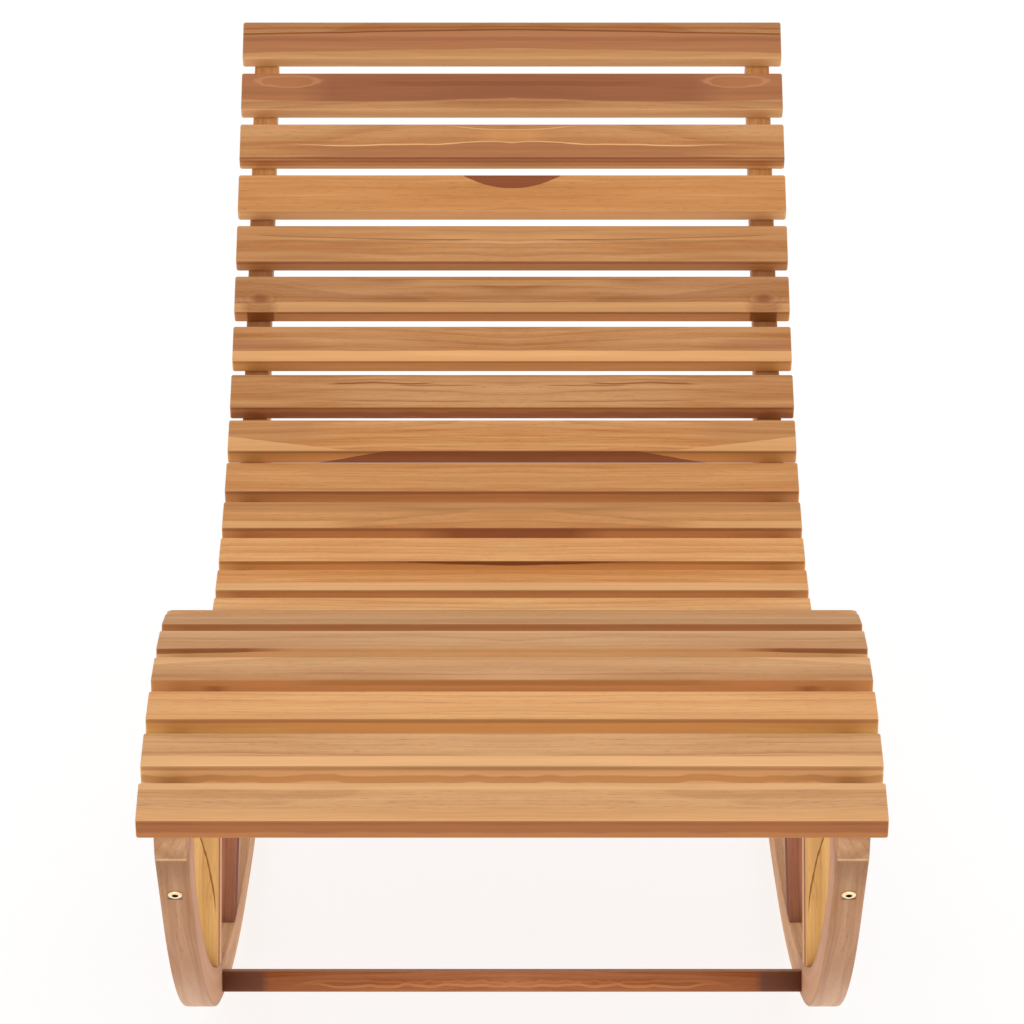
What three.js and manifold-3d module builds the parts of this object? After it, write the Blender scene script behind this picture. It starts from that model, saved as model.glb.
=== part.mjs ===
// A rocking chaise lounge of slatted hardwood.
// Thirty cross slats lie on two S-shaped rails, and under each rail a curved rocker runs from the
// foot end to the back. Posts stand between rocker and rail, and two crossbars tie the rockers.
// Lengths are millimetres. X runs across the seat, Y from the foot end to the head end, Z upwards.
// In the side view every shape is drawn as y and z, with y counted from the foot end of the seat.

import * as THREE from 'three';
import { mergeVertices } from 'three/addons/utils/BufferGeometryUtils.js';
import Module from 'manifold-3d';

const wasm = await Module();
wasm.setup();

const radians = THREE.MathUtils.degToRad;

// Seat curve: the line on which the undersides of the slats lie.
const footHeight = 350;
const calfRadius = 768;
const kneeRadius = 431;
const seatRadius = 823;
const backRadius = 3260;
const backLength = 399;
const calfRise = radians(24.3);
const kneeFall = radians(31.9);
const backRise = radians(41.5);

// Slats.
const slatCount = 30;
const slatLength = 600;
const slatWidth = 48;
const slatThickness = 18;
const slatChamfer = 1.2;

// Side frames: the boards of rails, rockers, posts and struts.
const frameThickness = 26;
const frameDepth = 34;
const slatOverhang = 13;
const railInset = 12;
const railEndSlant = 22;
const lapLength = 60;
const lapShares = { rail: [0.34, 0.67], rocker: [0.36, 0.66] };

// Rocker, along its underside.
const contactAt = 932;
const contactFlat = 60;
const rockerRadius = 1970;
const frontShoulderRadius = 714;
const frontLegSlope = radians(44.7);
const rearShoulderRadius = 444;
const rearLegSlope = radians(65);
const rearJointAt = 1640;
const filletRadius = 72;

// Posts and struts between rocker and rail: where the foot stands and how far each leans back.
const postWidth = 48;
const postTenonWidth = 28;
const strutWidth = 34;
const strutTenonWidth = 20;
const tenonThickness = 10;
const tenonLength = 10;
const frontPostAt = 446;
const seatStrutAt = 708;
const rearPostAt = 1243;
const postSection = { width: postWidth, tenonWidth: postTenonWidth };
const strutSection = { width: strutWidth, tenonWidth: strutTenonWidth };
const posts = [
  { name: 'front_post', footAt: frontPostAt, lean: radians(19), ...postSection },
  { name: 'seat_strut', footAt: seatStrutAt, lean: radians(44), ...strutSection },
  { name: 'rear_post', footAt: rearPostAt, lean: radians(-19), ...postSection },
];

// Crossbars between the rockers.
const crossbarWidth = 16;
const crossbarThickness = 19;
const crossbarTenonWidth = 10;
const crossbarLevel = 15;
const frontCrossbarAt = 484;
const rearCrossbarAt = 1322;
const crossbars = [
  { name: 'front_crossbar', at: frontCrossbarAt },
  { name: 'rear_crossbar', at: rearCrossbarAt },
];

// Joint bolts and their barrel nuts.
const boltHeadRadius = 5.8;
const boltHeadHeight = 2;
const boltSocketRadius = 2.6;
const boltSocketDepth = 1.4;
const boltRadius = 3;
const boltTail = 7;
const nutRadius = 5;
const nutLength = 18;
const frontBoltInset = 60;
const rearBoltInset = 42;

// Fits and drawing steps.
const clearance = 0.3;
const overrun = 120;
const facetLength = 36;
const roundSides = 16;

// A line in the side view made of runs. Each run has a length and a turn, and a run that turns is
// an arc. The place at a distance s along it is found from the run that holds s, and the line goes
// on straight beyond both of its ends.
function makePath(start, heading, runs) {
  const pieces = [];
  let piece = { y: start.y, z: start.z, heading, from: 0 };
  for (const run of runs) {
    pieces.push({ ...piece, ...run });
    const end = walk({ ...piece, ...run }, run.length);
    piece = { ...end, from: piece.from + run.length };
  }
  pieces.push({ ...piece, length: overrun, turn: 0 });
  const length = piece.from;
  const at = (s) => {
    if (s < 0) return walk({ ...pieces[0], turn: 0 }, s);
    const holder = pieces.findLast((candidate) => candidate.from <= s);
    return walk(holder, s - holder.from);
  };
  return { length, at, breaks: pieces.map((each) => each.from) };
}

function walk(piece, distance) {
  const { y, z, heading, length, turn } = piece;
  if (turn === 0) {
    return { y: y + distance * Math.cos(heading), z: z + distance * Math.sin(heading), heading };
  }
  const radius = length / turn;
  const after = heading + distance / radius;
  return {
    y: y + radius * (Math.sin(after) - Math.sin(heading)),
    z: z - radius * (Math.cos(after) - Math.cos(heading)),
    heading: after,
  };
}

// The point beside a path at distance s, offset square to it: upwards when the offset is positive.
function beside(path, s, offset) {
  const { y, z, heading } = path.at(s);
  return { y: y - offset * Math.sin(heading), z: z + offset * Math.cos(heading), heading };
}

// Distances along a path from one end to the other, with a step of at most one facet and a stop
// at every place where the path changes from one run to the next.
function stops(path, from, to) {
  const low = Math.min(from, to);
  const high = Math.max(from, to);
  const inner = path.breaks.filter((each) => each > low && each < high);
  const marks = [low, ...inner, high];
  const list = [low];
  for (let i = 1; i < marks.length; i += 1) {
    const steps = Math.ceil((marks[i] - marks[i - 1]) / facetLength);
    for (let k = 1; k <= steps; k += 1) {
      list.push(THREE.MathUtils.lerp(marks[i - 1], marks[i], k / steps));
    }
  }
  return from < to ? list : list.reverse();
}

function offsetLine(path, distances, offset) {
  return distances.map((s) => beside(path, s, offset));
}

// The distance along a path, between two limits, at which its offset line meets a straight line.
function meet(path, offset, point, direction, from, to) {
  const side = (s) => {
    const place = beside(path, s, offset);
    return (place.y - point.y) * direction.z - (place.z - point.z) * direction.y;
  };
  let low = from;
  let high = to;
  const sign = Math.sign(side(low));
  for (let i = 0; i < 50; i += 1) {
    const middle = (low + high) / 2;
    if (Math.sign(side(middle)) === sign) low = middle;
    else high = middle;
  }
  return low;
}

// Solids. An outline in the side view becomes a board whose thickness runs along X.
const sideView = new THREE.Matrix4().makeBasis(
  new THREE.Vector3(0, 1, 0),
  new THREE.Vector3(0, 0, 1),
  new THREE.Vector3(1, 0, 0),
);

function board(outline, thickness, chamfer = 0) {
  const shape = new THREE.Shape(outline.map((point) => new THREE.Vector2(point.y, point.z)));
  const geometry = new THREE.ExtrudeGeometry(shape, {
    depth: thickness - 2 * chamfer,
    bevelEnabled: chamfer > 0,
    bevelThickness: chamfer,
    bevelSize: chamfer,
    bevelOffset: -chamfer,
    bevelSegments: 1,
    steps: 1,
  });
  geometry.translate(0, 0, chamfer - thickness / 2);
  return geometry.applyMatrix4(sideView);
}

function toSolid(geometry) {
  const plain = geometry.clone();
  plain.deleteAttribute('normal');
  plain.deleteAttribute('uv');
  const merged = mergeVertices(plain);
  return new wasm.Manifold(new wasm.Mesh({
    numProp: 3,
    vertProperties: new Float32Array(merged.attributes.position.array),
    triVerts: new Uint32Array(merged.index.array),
  }));
}

function toGeometry(solid) {
  const mesh = solid.getMesh();
  const geometry = new THREE.BufferGeometry();
  geometry.setAttribute('position', new THREE.BufferAttribute(mesh.vertProperties, mesh.numProp));
  geometry.setIndex(new THREE.BufferAttribute(mesh.triVerts, 1));
  geometry.computeVertexNormals();
  return geometry;
}

function cut(solid, tools) {
  return tools.reduce((rest, tool) => rest.subtract(tool), solid);
}

function rectangle(centre, direction, width, back, ahead) {
  const corner = (along, across) => ({
    y: centre.y + along * direction.y + across * direction.z,
    z: centre.z + along * direction.z - across * direction.y,
  });
  const half = width / 2;
  return [corner(-back, half), corner(ahead, half), corner(ahead, -half), corner(-back, -half)];
}

// Seat curve and slat places. The first and last slats end flush with the ends of the curve.
const seatCurve = makePath({ y: 0, z: footHeight }, calfRise, [
  { length: calfRadius * calfRise, turn: -calfRise },
  { length: kneeRadius * kneeFall, turn: -kneeFall },
  { length: seatRadius * (kneeFall + backRise), turn: kneeFall + backRise },
  { length: backLength, turn: backLength / backRadius },
]);
const slatPitch = (seatCurve.length - slatWidth) / (slatCount - 1);
const slatCentres = Array.from({ length: slatCount }, (_, i) => slatWidth / 2 + i * slatPitch);
const seatEdges = slatCentres.flatMap((s) => [s - slatWidth / 2, s + slatWidth / 2]);

const railX = slatLength / 2 - slatOverhang - frameThickness / 2;
const railInnerX = railX - frameThickness / 2;
const railFrom = railInset;
const railTo = seatCurve.length - railInset;

// Rocker. The front leg passes through the lower front corner of the rail, and the rear leg meets
// the underside of the rail behind the back. Each shoulder arc touches its leg and the rocker's
// large arc, which fixes how far the large arc turns before the shoulder takes over.
function shoulderTurn(reach, height, slope, shoulderRadius) {
  const along = reach * Math.sin(slope) + (rockerRadius - height) * Math.cos(slope);
  return slope - Math.acos((along - shoulderRadius) / (rockerRadius - shoulderRadius));
}

function legRun(reach, height, slope, shoulderRadius, turn) {
  const inner = rockerRadius - shoulderRadius;
  const foot = inner * Math.sin(turn) + shoulderRadius * Math.sin(slope);
  return (reach - foot) / Math.cos(slope);
}

const frontCorner = beside(seatCurve, railFrom, -frameDepth);
const rearCorner = beside(seatCurve, rearJointAt, -frameDepth);
const frontReach = contactAt - contactFlat / 2 - frontCorner.y;
const rearReach = rearCorner.y - contactAt - contactFlat / 2;
const frontTurn = shoulderTurn(frontReach, frontCorner.z, frontLegSlope, frontShoulderRadius);
const rearTurn = shoulderTurn(rearReach, rearCorner.z, rearLegSlope, rearShoulderRadius);
const frontLeg = legRun(frontReach, frontCorner.z, frontLegSlope, frontShoulderRadius, frontTurn);
const rearLeg = legRun(rearReach, rearCorner.z, rearLegSlope, rearShoulderRadius, rearTurn);

const rockerCurve = makePath(frontCorner, -frontLegSlope, [
  { length: frontLeg, turn: 0 },
  { length: frontShoulderRadius * (frontLegSlope - frontTurn), turn: frontLegSlope - frontTurn },
  { length: rockerRadius * frontTurn, turn: frontTurn },
  { length: contactFlat, turn: 0 },
  { length: rockerRadius * rearTurn, turn: rearTurn },
  { length: rearShoulderRadius * (rearLegSlope - rearTurn), turn: rearLegSlope - rearTurn },
  { length: rearLeg, turn: 0 },
]);

// Cutters: all that lies above the underside of the rail, and all below the top of the rocker.
const wide = frameThickness + overrun;
const railLine = stops(seatCurve, -overrun, seatCurve.length + overrun);
const railUnderside = offsetLine(seatCurve, railLine, -frameDepth - clearance);
const railCutter = toSolid(board([
  ...railUnderside,
  { y: railUnderside.at(-1).y, z: seatCurve.length },
  { y: railUnderside[0].y, z: seatCurve.length },
], wide));

const rockerLine = stops(rockerCurve, 0, rockerCurve.length);
const rockerTop = offsetLine(rockerCurve, rockerLine, frameDepth + clearance);
const rockerCutter = toSolid(board([
  { y: rockerTop[0].y, z: -seatCurve.length },
  { y: rockerTop.at(-1).y, z: -seatCurve.length },
  ...rockerTop.toReversed(),
], wide));

// The top of a rail is a chain of chords between the edges of the slats, so each slat lies flat.
function onChord(s) {
  const next = Math.max(1, seatEdges.findIndex((edge) => edge >= s));
  const [start, end] = [seatEdges[next - 1], seatEdges[next]];
  const share = (s - start) / (end - start);
  const [from, to] = [seatCurve.at(start), seatCurve.at(end)];
  return { y: THREE.MathUtils.lerp(from.y, to.y, share), z: THREE.MathUtils.lerp(from.z, to.z, share) };
}

function railTop(from, to) {
  return [from, ...seatEdges.filter((s) => s > from && s < to), to].map(onChord);
}

function rockerTopLine(from, to) {
  return offsetLine(rockerCurve, stops(rockerCurve, from, to), frameDepth);
}

// A curved member is made of boards joined end to end by half laps: at each joint the upper half
// of one board ends before the joint, and its lower half runs on under the next board.
function memberOutline(path, ends, upper, lower, topLine) {
  const [start, end] = ends;
  const middle = (upper + lower) / 2;
  const points = topLine(start.upper + start.gap, end.upper);
  if (end.gap > 0) {
    points.push(...offsetLine(path, [end.upper, end.lower], middle - end.gap / 2));
  }
  const bottom = [end.lower, start.lower + start.gap];
  points.push(...offsetLine(path, stops(path, ...bottom), lower));
  if (start.gap > 0) {
    points.push(...offsetLine(path, bottom.slice(1), middle + start.gap / 2));
    points.push(...offsetLine(path, [start.upper + start.gap], middle + start.gap / 2));
  }
  return points;
}

// The ends of the boards of one member: each end says how far its upper and lower halves reach.
function memberEnds(from, to, shares, slant) {
  const joints = shares.map((share) => {
    const s = THREE.MathUtils.lerp(from, to, share);
    return { upper: s - lapLength / 2, lower: s + lapLength / 2, gap: clearance };
  });
  const all = [{ upper: from, lower: from, gap: 0 }, ...joints, { upper: to, lower: to - slant, gap: 0 }];
  return all.slice(1).map((end, i) => [all[i], end]);
}

// Posts and struts: each centre line runs from the top of the rocker to the underside of the rail.
function postParts({ footAt, lean, width, tenonWidth }) {
  const up = { y: Math.sin(lean), z: Math.cos(lean) };
  const upright = { y: 0, z: 1 };
  const rockerAt = meet(rockerCurve, frameDepth, { y: footAt, z: 0 }, upright, 0, rockerCurve.length);
  const foot = beside(rockerCurve, rockerAt, frameDepth);
  const railAt = meet(seatCurve, -frameDepth, foot, up, railFrom, railTo);
  const head = beside(seatCurve, railAt, -frameDepth);
  const length = Math.hypot(head.y - foot.y, head.z - foot.z);
  const body = rectangle(foot, up, width, width, length + width);
  const tenon = rectangle(foot, up, tenonWidth, tenonLength, length + tenonLength);
  const socket = rectangle(
    foot, up, tenonWidth + 2 * clearance,
    tenonLength + clearance, length + tenonLength + clearance,
  );
  const trimmed = cut(toSolid(board(body, frameThickness)), [railCutter, rockerCutter]);
  return {
    post: trimmed.add(toSolid(board(tenon, tenonThickness))),
    socket: toSolid(board(socket, tenonThickness + 2 * clearance)),
  };
}

// Crossbars lie along the rocker's curve, a little below half its depth, with a stub tenon at
// each end.
function crossbarParts({ at }) {
  const upright = { y: 0, z: 1 };
  const s = meet(rockerCurve, crossbarLevel, { y: at, z: 0 }, upright, 0, rockerCurve.length);
  const centre = beside(rockerCurve, s, crossbarLevel);
  const along = { y: Math.cos(centre.heading), z: Math.sin(centre.heading) };
  const half = crossbarWidth / 2;
  const tenonHalf = crossbarTenonWidth / 2;
  const bar = rectangle(centre, along, crossbarThickness, half, half);
  const tenon = rectangle(centre, along, tenonThickness, tenonHalf, tenonHalf);
  const socket = rectangle(
    centre, along, tenonThickness + 2 * clearance, tenonHalf + clearance, tenonHalf + clearance,
  );
  const between = 2 * (railInnerX - clearance);
  const tips = 2 * (railInnerX + tenonLength);
  const sockets = 2 * (railInnerX + tenonLength + clearance);
  return {
    crossbar: toSolid(board(bar, between)).add(toSolid(board(tenon, tips))),
    socket: toSolid(board(socket, sockets)),
  };
}

// Joint bolts: square to the outer face of the rocker's leg, through the leg and into the rail,
// where a barrel nut lies across the bolt at half the rail's depth.
function boltParts(s) {
  const seat = rockerCurve.at(s);
  const inward = { y: -Math.sin(seat.heading), z: Math.cos(seat.heading) };
  const [from, to] = s < rockerCurve.length / 2
    ? [railFrom, seatCurve.length / 2]
    : [seatCurve.length / 2, railTo];
  const nutAt = meet(seatCurve, -frameDepth / 2, seat, inward, from, to);
  const nut = beside(seatCurve, nutAt, -frameDepth / 2);
  const reach = Math.hypot(nut.y - seat.y, nut.z - seat.z) + boltTail;
  return { seat, inward, nut, reach };
}

// A bolt points along local Z with its head at the top, and turns about X to stand on its seat.
function boltGeometry(reach) {
  const rim = boltHeadHeight / 3;
  const profile = [
    [0, boltHeadHeight - boltSocketDepth],
    [boltSocketRadius, boltHeadHeight - boltSocketDepth],
    [boltSocketRadius, boltHeadHeight],
    [boltHeadRadius - rim, boltHeadHeight],
    [boltHeadRadius, boltHeadHeight - rim],
    [boltHeadRadius, clearance],
    [boltRadius, clearance],
    [boltRadius, -reach],
    [0, -reach],
  ];
  const points = profile.map(([radius, height]) => new THREE.Vector2(radius, height)).reverse();
  return new THREE.LatheGeometry(points, roundSides).rotateX(Math.PI / 2);
}

function pin(radius, length) {
  return new THREE.CylinderGeometry(radius, radius, length, roundSides);
}

function placeBolt(object, part) {
  object.rotation.x = Math.PI + part.seat.heading;
  object.position.set(0, part.seat.y, part.seat.z);
  object.updateMatrix();
  return object;
}

function boltHole(part) {
  const length = part.reach + overrun;
  const hole = pin(boltRadius + clearance, length).rotateX(Math.PI / 2);
  hole.translate(0, 0, -part.reach - clearance + length / 2);
  return toSolid(hole.applyMatrix4(placeBolt(new THREE.Object3D(), part).matrix));
}

// The nut goes in from the inner face of the rail, so its hole is open there and blind outside.
function nutHole(part, side) {
  const inset = frameThickness / 2 - (nutLength + clearance) / 2;
  const hole = pin(nutRadius + clearance, nutLength + clearance + overrun).rotateZ(Math.PI / 2);
  hole.translate(-side * (inset + overrun / 2), part.nut.y, part.nut.z);
  return toSolid(hole);
}

function nutSolid(part, side) {
  const inset = frameThickness / 2 - nutLength / 2 - clearance;
  const body = pin(nutRadius, nutLength).rotateZ(Math.PI / 2);
  body.translate(-side * inset, part.nut.y, part.nut.z);
  return toSolid(body).subtract(boltHole(part));
}

// Finishes. The slats vary between honey and a redder brown, as boards of one log do.
const slatColours = [0xd9a566, 0xcf9658, 0xdcab6e, 0xc78d52];
const frameWood = new THREE.MeshStandardMaterial({ color: 0xcc9a68, roughness: 0.62, metalness: 0 });
const postWood = new THREE.MeshStandardMaterial({ color: 0xd6a156, roughness: 0.62, metalness: 0 });
const heartwood = new THREE.MeshStandardMaterial({ color: 0x7d4a30, roughness: 0.62, metalness: 0 });
const brass = new THREE.MeshStandardMaterial({ color: 0xc9a45c, roughness: 0.35, metalness: 1 });
const slatWoods = slatColours.map((color) => (
  new THREE.MeshStandardMaterial({ color, roughness: 0.6, metalness: 0 })
));

const lounger = new THREE.Group();

function addPiece(name, geometry, material, x = 0) {
  const mesh = new THREE.Mesh(geometry, material);
  mesh.name = name;
  mesh.position.x = x;
  lounger.add(mesh);
  return mesh;
}

// Slats: each lies flat on the chord between the two points where its edges rest on the curve.
function chamferedSection(width, thickness, chamfer) {
  const half = width / 2;
  return [
    { y: -half + chamfer, z: 0 }, { y: half - chamfer, z: 0 },
    { y: half, z: chamfer }, { y: half, z: thickness - chamfer },
    { y: half - chamfer, z: thickness }, { y: -half + chamfer, z: thickness },
    { y: -half, z: thickness - chamfer }, { y: -half, z: chamfer },
  ];
}

function addSlats() {
  const section = chamferedSection(slatWidth, slatThickness, slatChamfer);
  const geometry = board(section, slatLength, slatChamfer);
  slatCentres.forEach((s, i) => {
    const front = seatCurve.at(s - slatWidth / 2);
    const rear = seatCurve.at(s + slatWidth / 2);
    const slope = Math.atan2(rear.z - front.z, rear.y - front.y);
    const number = String(i + 1).padStart(2, '0');
    const slat = addPiece(`slat_${number}`, geometry, slatWoods[i % slatWoods.length]);
    slat.rotation.x = slope;
    slat.position.y = (front.y + rear.y) / 2 - clearance * Math.sin(slope);
    slat.position.z = (front.z + rear.z) / 2 + clearance * Math.cos(slope);
  });
}

// The concave corner where the front leg meets the rail is filled by a rounded web.
function filletWeb() {
  const leg = beside(rockerCurve, 0, frameDepth);
  const down = { y: Math.cos(frontLegSlope), z: -Math.sin(frontLegSlope) };
  const cornerAt = meet(seatCurve, -frameDepth, leg, down, 0, calfRadius * calfRise);
  const corner = beside(seatCurve, cornerAt, -frameDepth);
  const opening = corner.heading + frontLegSlope;
  const tangent = filletRadius / Math.tan(opening / 2);
  const bisector = (corner.heading - frontLegSlope) / 2;
  const toCentre = filletRadius / Math.sin(opening / 2);
  const centre = {
    y: corner.y + toCentre * Math.cos(bisector),
    z: corner.z + toCentre * Math.sin(bisector),
  };
  const onLeg = { y: corner.y + tangent * down.y, z: corner.z + tangent * down.z };
  const turn = Math.PI - opening;
  const first = Math.atan2(onLeg.z - centre.z, onLeg.y - centre.y);
  const arc = Array.from({ length: roundSides / 2 + 1 }, (_, i) => {
    const angle = first - turn * (i / (roundSides / 2));
    return {
      y: centre.y + filletRadius * Math.cos(angle),
      z: centre.z + filletRadius * Math.sin(angle),
    };
  });
  const sunk = frameDepth / 2;
  const below = { y: -sunk * Math.sin(frontLegSlope), z: -sunk * Math.cos(frontLegSlope) };
  return toSolid(board([
    { y: arc[0].y + below.y, z: arc[0].z + below.z },
    ...arc,
    { y: corner.y, z: arc.at(-1).z },
    { y: corner.y + below.y, z: corner.z + below.z },
  ], frameThickness));
}

// Side frames, left and right. A side is -1 on the left and 1 on the right.
const boltPlaces = {
  front: boltParts(frontBoltInset),
  rear: boltParts(rockerCurve.length - rearBoltInset),
};
const postSets = posts.map((each) => ({ name: each.name, ...postParts(each) }));
const crossbarSets = crossbars.map((each) => ({ name: each.name, ...crossbarParts(each) }));
const boltSockets = Object.values(boltPlaces).map(boltHole);
const postSockets = postSets.map((each) => each.socket);

function addSide(side, label) {
  const x = side * railX;
  const nutSockets = Object.values(boltPlaces).map((part) => nutHole(part, side));
  const barSockets = crossbarSets.map((each) => each.socket.translate([-x, 0, 0]));
  const railNames = ['calf_rail', 'seat_rail', 'back_rail'];
  const railTools = [...postSockets, ...boltSockets, ...nutSockets];
  memberEnds(railFrom, railTo, lapShares.rail, railEndSlant).forEach((ends, i) => {
    const outline = memberOutline(seatCurve, ends, 0, -frameDepth, railTop);
    const solid = cut(toSolid(board(outline, frameThickness)), railTools);
    addPiece(`${railNames[i]}_${label}`, toGeometry(solid), frameWood, x);
  });
  const rockerNames = ['front_rocker', 'middle_rocker', 'rear_rocker'];
  const rockerTools = [railCutter, ...postSockets, ...boltSockets, ...barSockets];
  const rockerTo = rockerCurve.length + overrun;
  memberEnds(-overrun, rockerTo, lapShares.rocker, 0).forEach((ends, i) => {
    const outline = memberOutline(rockerCurve, ends, frameDepth, 0, rockerTopLine);
    const solid = toSolid(board(outline, frameThickness));
    const whole = i === 0 ? solid.add(filletWeb()) : solid;
    addPiece(`${rockerNames[i]}_${label}`, toGeometry(cut(whole, rockerTools)), frameWood, x);
  });
  for (const { name, post } of postSets) {
    const wood = name === 'seat_strut' ? heartwood : postWood;
    addPiece(`${name}_${label}`, toGeometry(post), wood, x);
  }
  for (const [place, part] of Object.entries(boltPlaces)) {
    const bolt = placeBolt(addPiece(`${place}_bolt_${label}`, boltGeometry(part.reach), brass), part);
    bolt.position.x = x;
    addPiece(`${place}_nut_${label}`, toGeometry(nutSolid(part, side)), brass, x);
  }
}

addSlats();
addSide(-1, 'left');
addSide(1, 'right');
for (const { name, crossbar } of crossbarSets) {
  addPiece(name, toGeometry(crossbar), heartwood);
}

// The origin is under the middle of the lounger, on the floor.
const box = new THREE.Box3().setFromObject(lounger);
lounger.position.y = -(box.min.y + box.max.y) / 2;
lounger.position.z = -box.min.z;

export default lounger;
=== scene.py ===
# %% [markdown]
# # A rocking chaise lounge of slatted teak
#
# The real object is a garden lounger: thirty slats lie across two wave-shaped rails, and curved
# rockers, posts and crossbars carry them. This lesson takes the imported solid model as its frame
# and gives every board the softened edges and the grain of sawn, sanded teak. Everything is in
# metres: X runs across the seat, Y from the foot end to the head end, and Z upwards.

# %% Load the frame
import math

import bpy
import numpy as np
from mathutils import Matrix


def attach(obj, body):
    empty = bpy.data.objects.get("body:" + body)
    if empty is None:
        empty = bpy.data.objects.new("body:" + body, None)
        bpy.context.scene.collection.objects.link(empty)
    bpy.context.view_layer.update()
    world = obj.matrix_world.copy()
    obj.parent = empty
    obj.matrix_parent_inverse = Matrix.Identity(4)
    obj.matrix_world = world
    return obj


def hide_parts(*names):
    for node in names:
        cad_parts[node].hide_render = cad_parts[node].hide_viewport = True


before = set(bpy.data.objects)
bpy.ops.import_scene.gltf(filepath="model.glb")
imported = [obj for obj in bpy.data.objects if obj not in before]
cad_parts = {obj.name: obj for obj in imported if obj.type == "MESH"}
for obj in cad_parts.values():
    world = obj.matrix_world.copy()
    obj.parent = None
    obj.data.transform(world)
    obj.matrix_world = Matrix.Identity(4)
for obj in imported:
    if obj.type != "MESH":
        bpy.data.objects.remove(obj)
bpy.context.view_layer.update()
bpy.context.scene.view_settings.view_transform = "Standard"
print("nodes in the frame:", len(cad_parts))

# %% [markdown]
# ## The lines that everything follows
#
# Seen from the side, the seat and the rockers are smooth lines made of arcs and straight runs.
# They could be traced by hand with a curve object, but the joiner who makes such a lounger lays
# them out with a few radii, so the same radii are written here, and each line is a function that
# gives the place and the slope at any distance along it, for whole arrays at once.

# %% A line made of arcs and straight runs
def side_line(start, heading, runs):
    """A line in the side view. Each run is (length, turn in radians), and the result is a
    function of the distance s. In a run that starts at (y0, z0) with slope h0, the curvature is
    k = turn / length and the slope is h = h0 + k d, at the distance d into the run. Then
    y = y0 + (sin h - sin h0) / k and z = z0 - (cos h - cos h0) / k, or a straight step if k = 0.
    Before its start and after its end the line goes straight on."""
    s, (y, z), h = 0.0, start, heading
    table = [(-1.0, y - math.cos(h), z - math.sin(h), h, 0.0)]
    for length, turn in runs:
        k = turn / length
        table.append((s, y, z, h, k))
        after = h + turn
        if k:
            y, z = y + (math.sin(after) - math.sin(h)) / k, z - (math.cos(after) - math.cos(h)) / k
        else:
            y, z = y + length * math.cos(h), z + length * math.sin(h)
        s, h = s + length, after
    table.append((s, y, z, h, 0.0))
    starts, ys, zs, hs, ks = np.array(table).T

    def at(distance):
        distance = np.asarray(distance, float)
        i = np.clip(np.searchsorted(starts, distance, side="right") - 1, 0, len(starts) - 1)
        d, k, h0 = distance - starts[i], ks[i], hs[i]
        h = h0 + k * d
        flat = np.abs(k) < 1e-12
        safe = np.where(flat, 1.0, k)
        y = ys[i] + np.where(flat, d * np.cos(h0), (np.sin(h) - np.sin(h0)) / safe)
        z = zs[i] + np.where(flat, d * np.sin(h0), -(np.cos(h) - np.cos(h0)) / safe)
        return np.stack([y, z], -1), h

    at.length = s
    return at


def beside(line, distance, offset):
    """Points at the distance s along a line, moved by an offset square to it: upwards is positive.
    The point is (y - w sin h, z + w cos h) for the slope h and the offset w."""
    point, h = line(distance)
    return point + np.stack([-np.sin(h), np.cos(h)], -1) * np.asarray(offset, float)[..., None]


def axes(angle):
    """The directions along an angle and across it."""
    return np.array([math.cos(angle), math.sin(angle)]), np.array([-math.sin(angle), math.cos(angle)])


def turned(origin, angle, p, q):
    """The points at p along a direction and q across it."""
    p, q = np.broadcast_arrays(np.asarray(p, float), np.asarray(q, float))
    along, across = axes(angle)
    return origin + p[..., None] * along + q[..., None] * across


# %% The seat line and the rocker line, with the radii of the solid model
FOOT = (-0.9007687, 0.35)
CALF, KNEE, SEAT, BACK = 0.768, 0.431, 0.823, 3.26
CALF_RISE, KNEE_FALL, BACK_RISE = (math.radians(a) for a in (24.3, 31.9, 41.5))
BACK_LENGTH = 0.399
DEPTH = 0.034
THICKNESS = 0.026
SIDE_X = 0.274
SIDES = (("left", -SIDE_X), ("right", SIDE_X))

seat_line = side_line(FOOT, CALF_RISE, [
    (CALF * CALF_RISE, -CALF_RISE),
    (KNEE * KNEE_FALL, -KNEE_FALL),
    (SEAT * (KNEE_FALL + BACK_RISE), KNEE_FALL + BACK_RISE),
    (BACK_LENGTH, BACK_LENGTH / BACK),
])

ROCKER = 1.97
CONTACT, CONTACT_FLAT = FOOT[0] + 0.932, 0.06
RAIL_INSET, RAIL_SLANT = 0.012, 0.022
REAR_JOINT = 1.640


def leg_parts(corner, contact_edge, slope, radius):
    """The turn of the large arc and the straight length of a leg that ends at a corner. The large
    arc of radius R turns by t before the shoulder arc of radius r takes over. Both touch, and the
    leg passes the corner at (reach, height), so with the leg's slope a
    (R - r) cos (a - t) = reach sin a + (R - height) cos a - r."""
    reach, height = abs(contact_edge - corner[0]), corner[1]
    along = reach * math.sin(slope) + (ROCKER - height) * math.cos(slope)
    turn = slope - math.acos((along - radius) / (ROCKER - radius))
    foot = (ROCKER - radius) * math.sin(turn) + radius * math.sin(slope)
    return turn, (reach - foot) / math.cos(slope)


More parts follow.
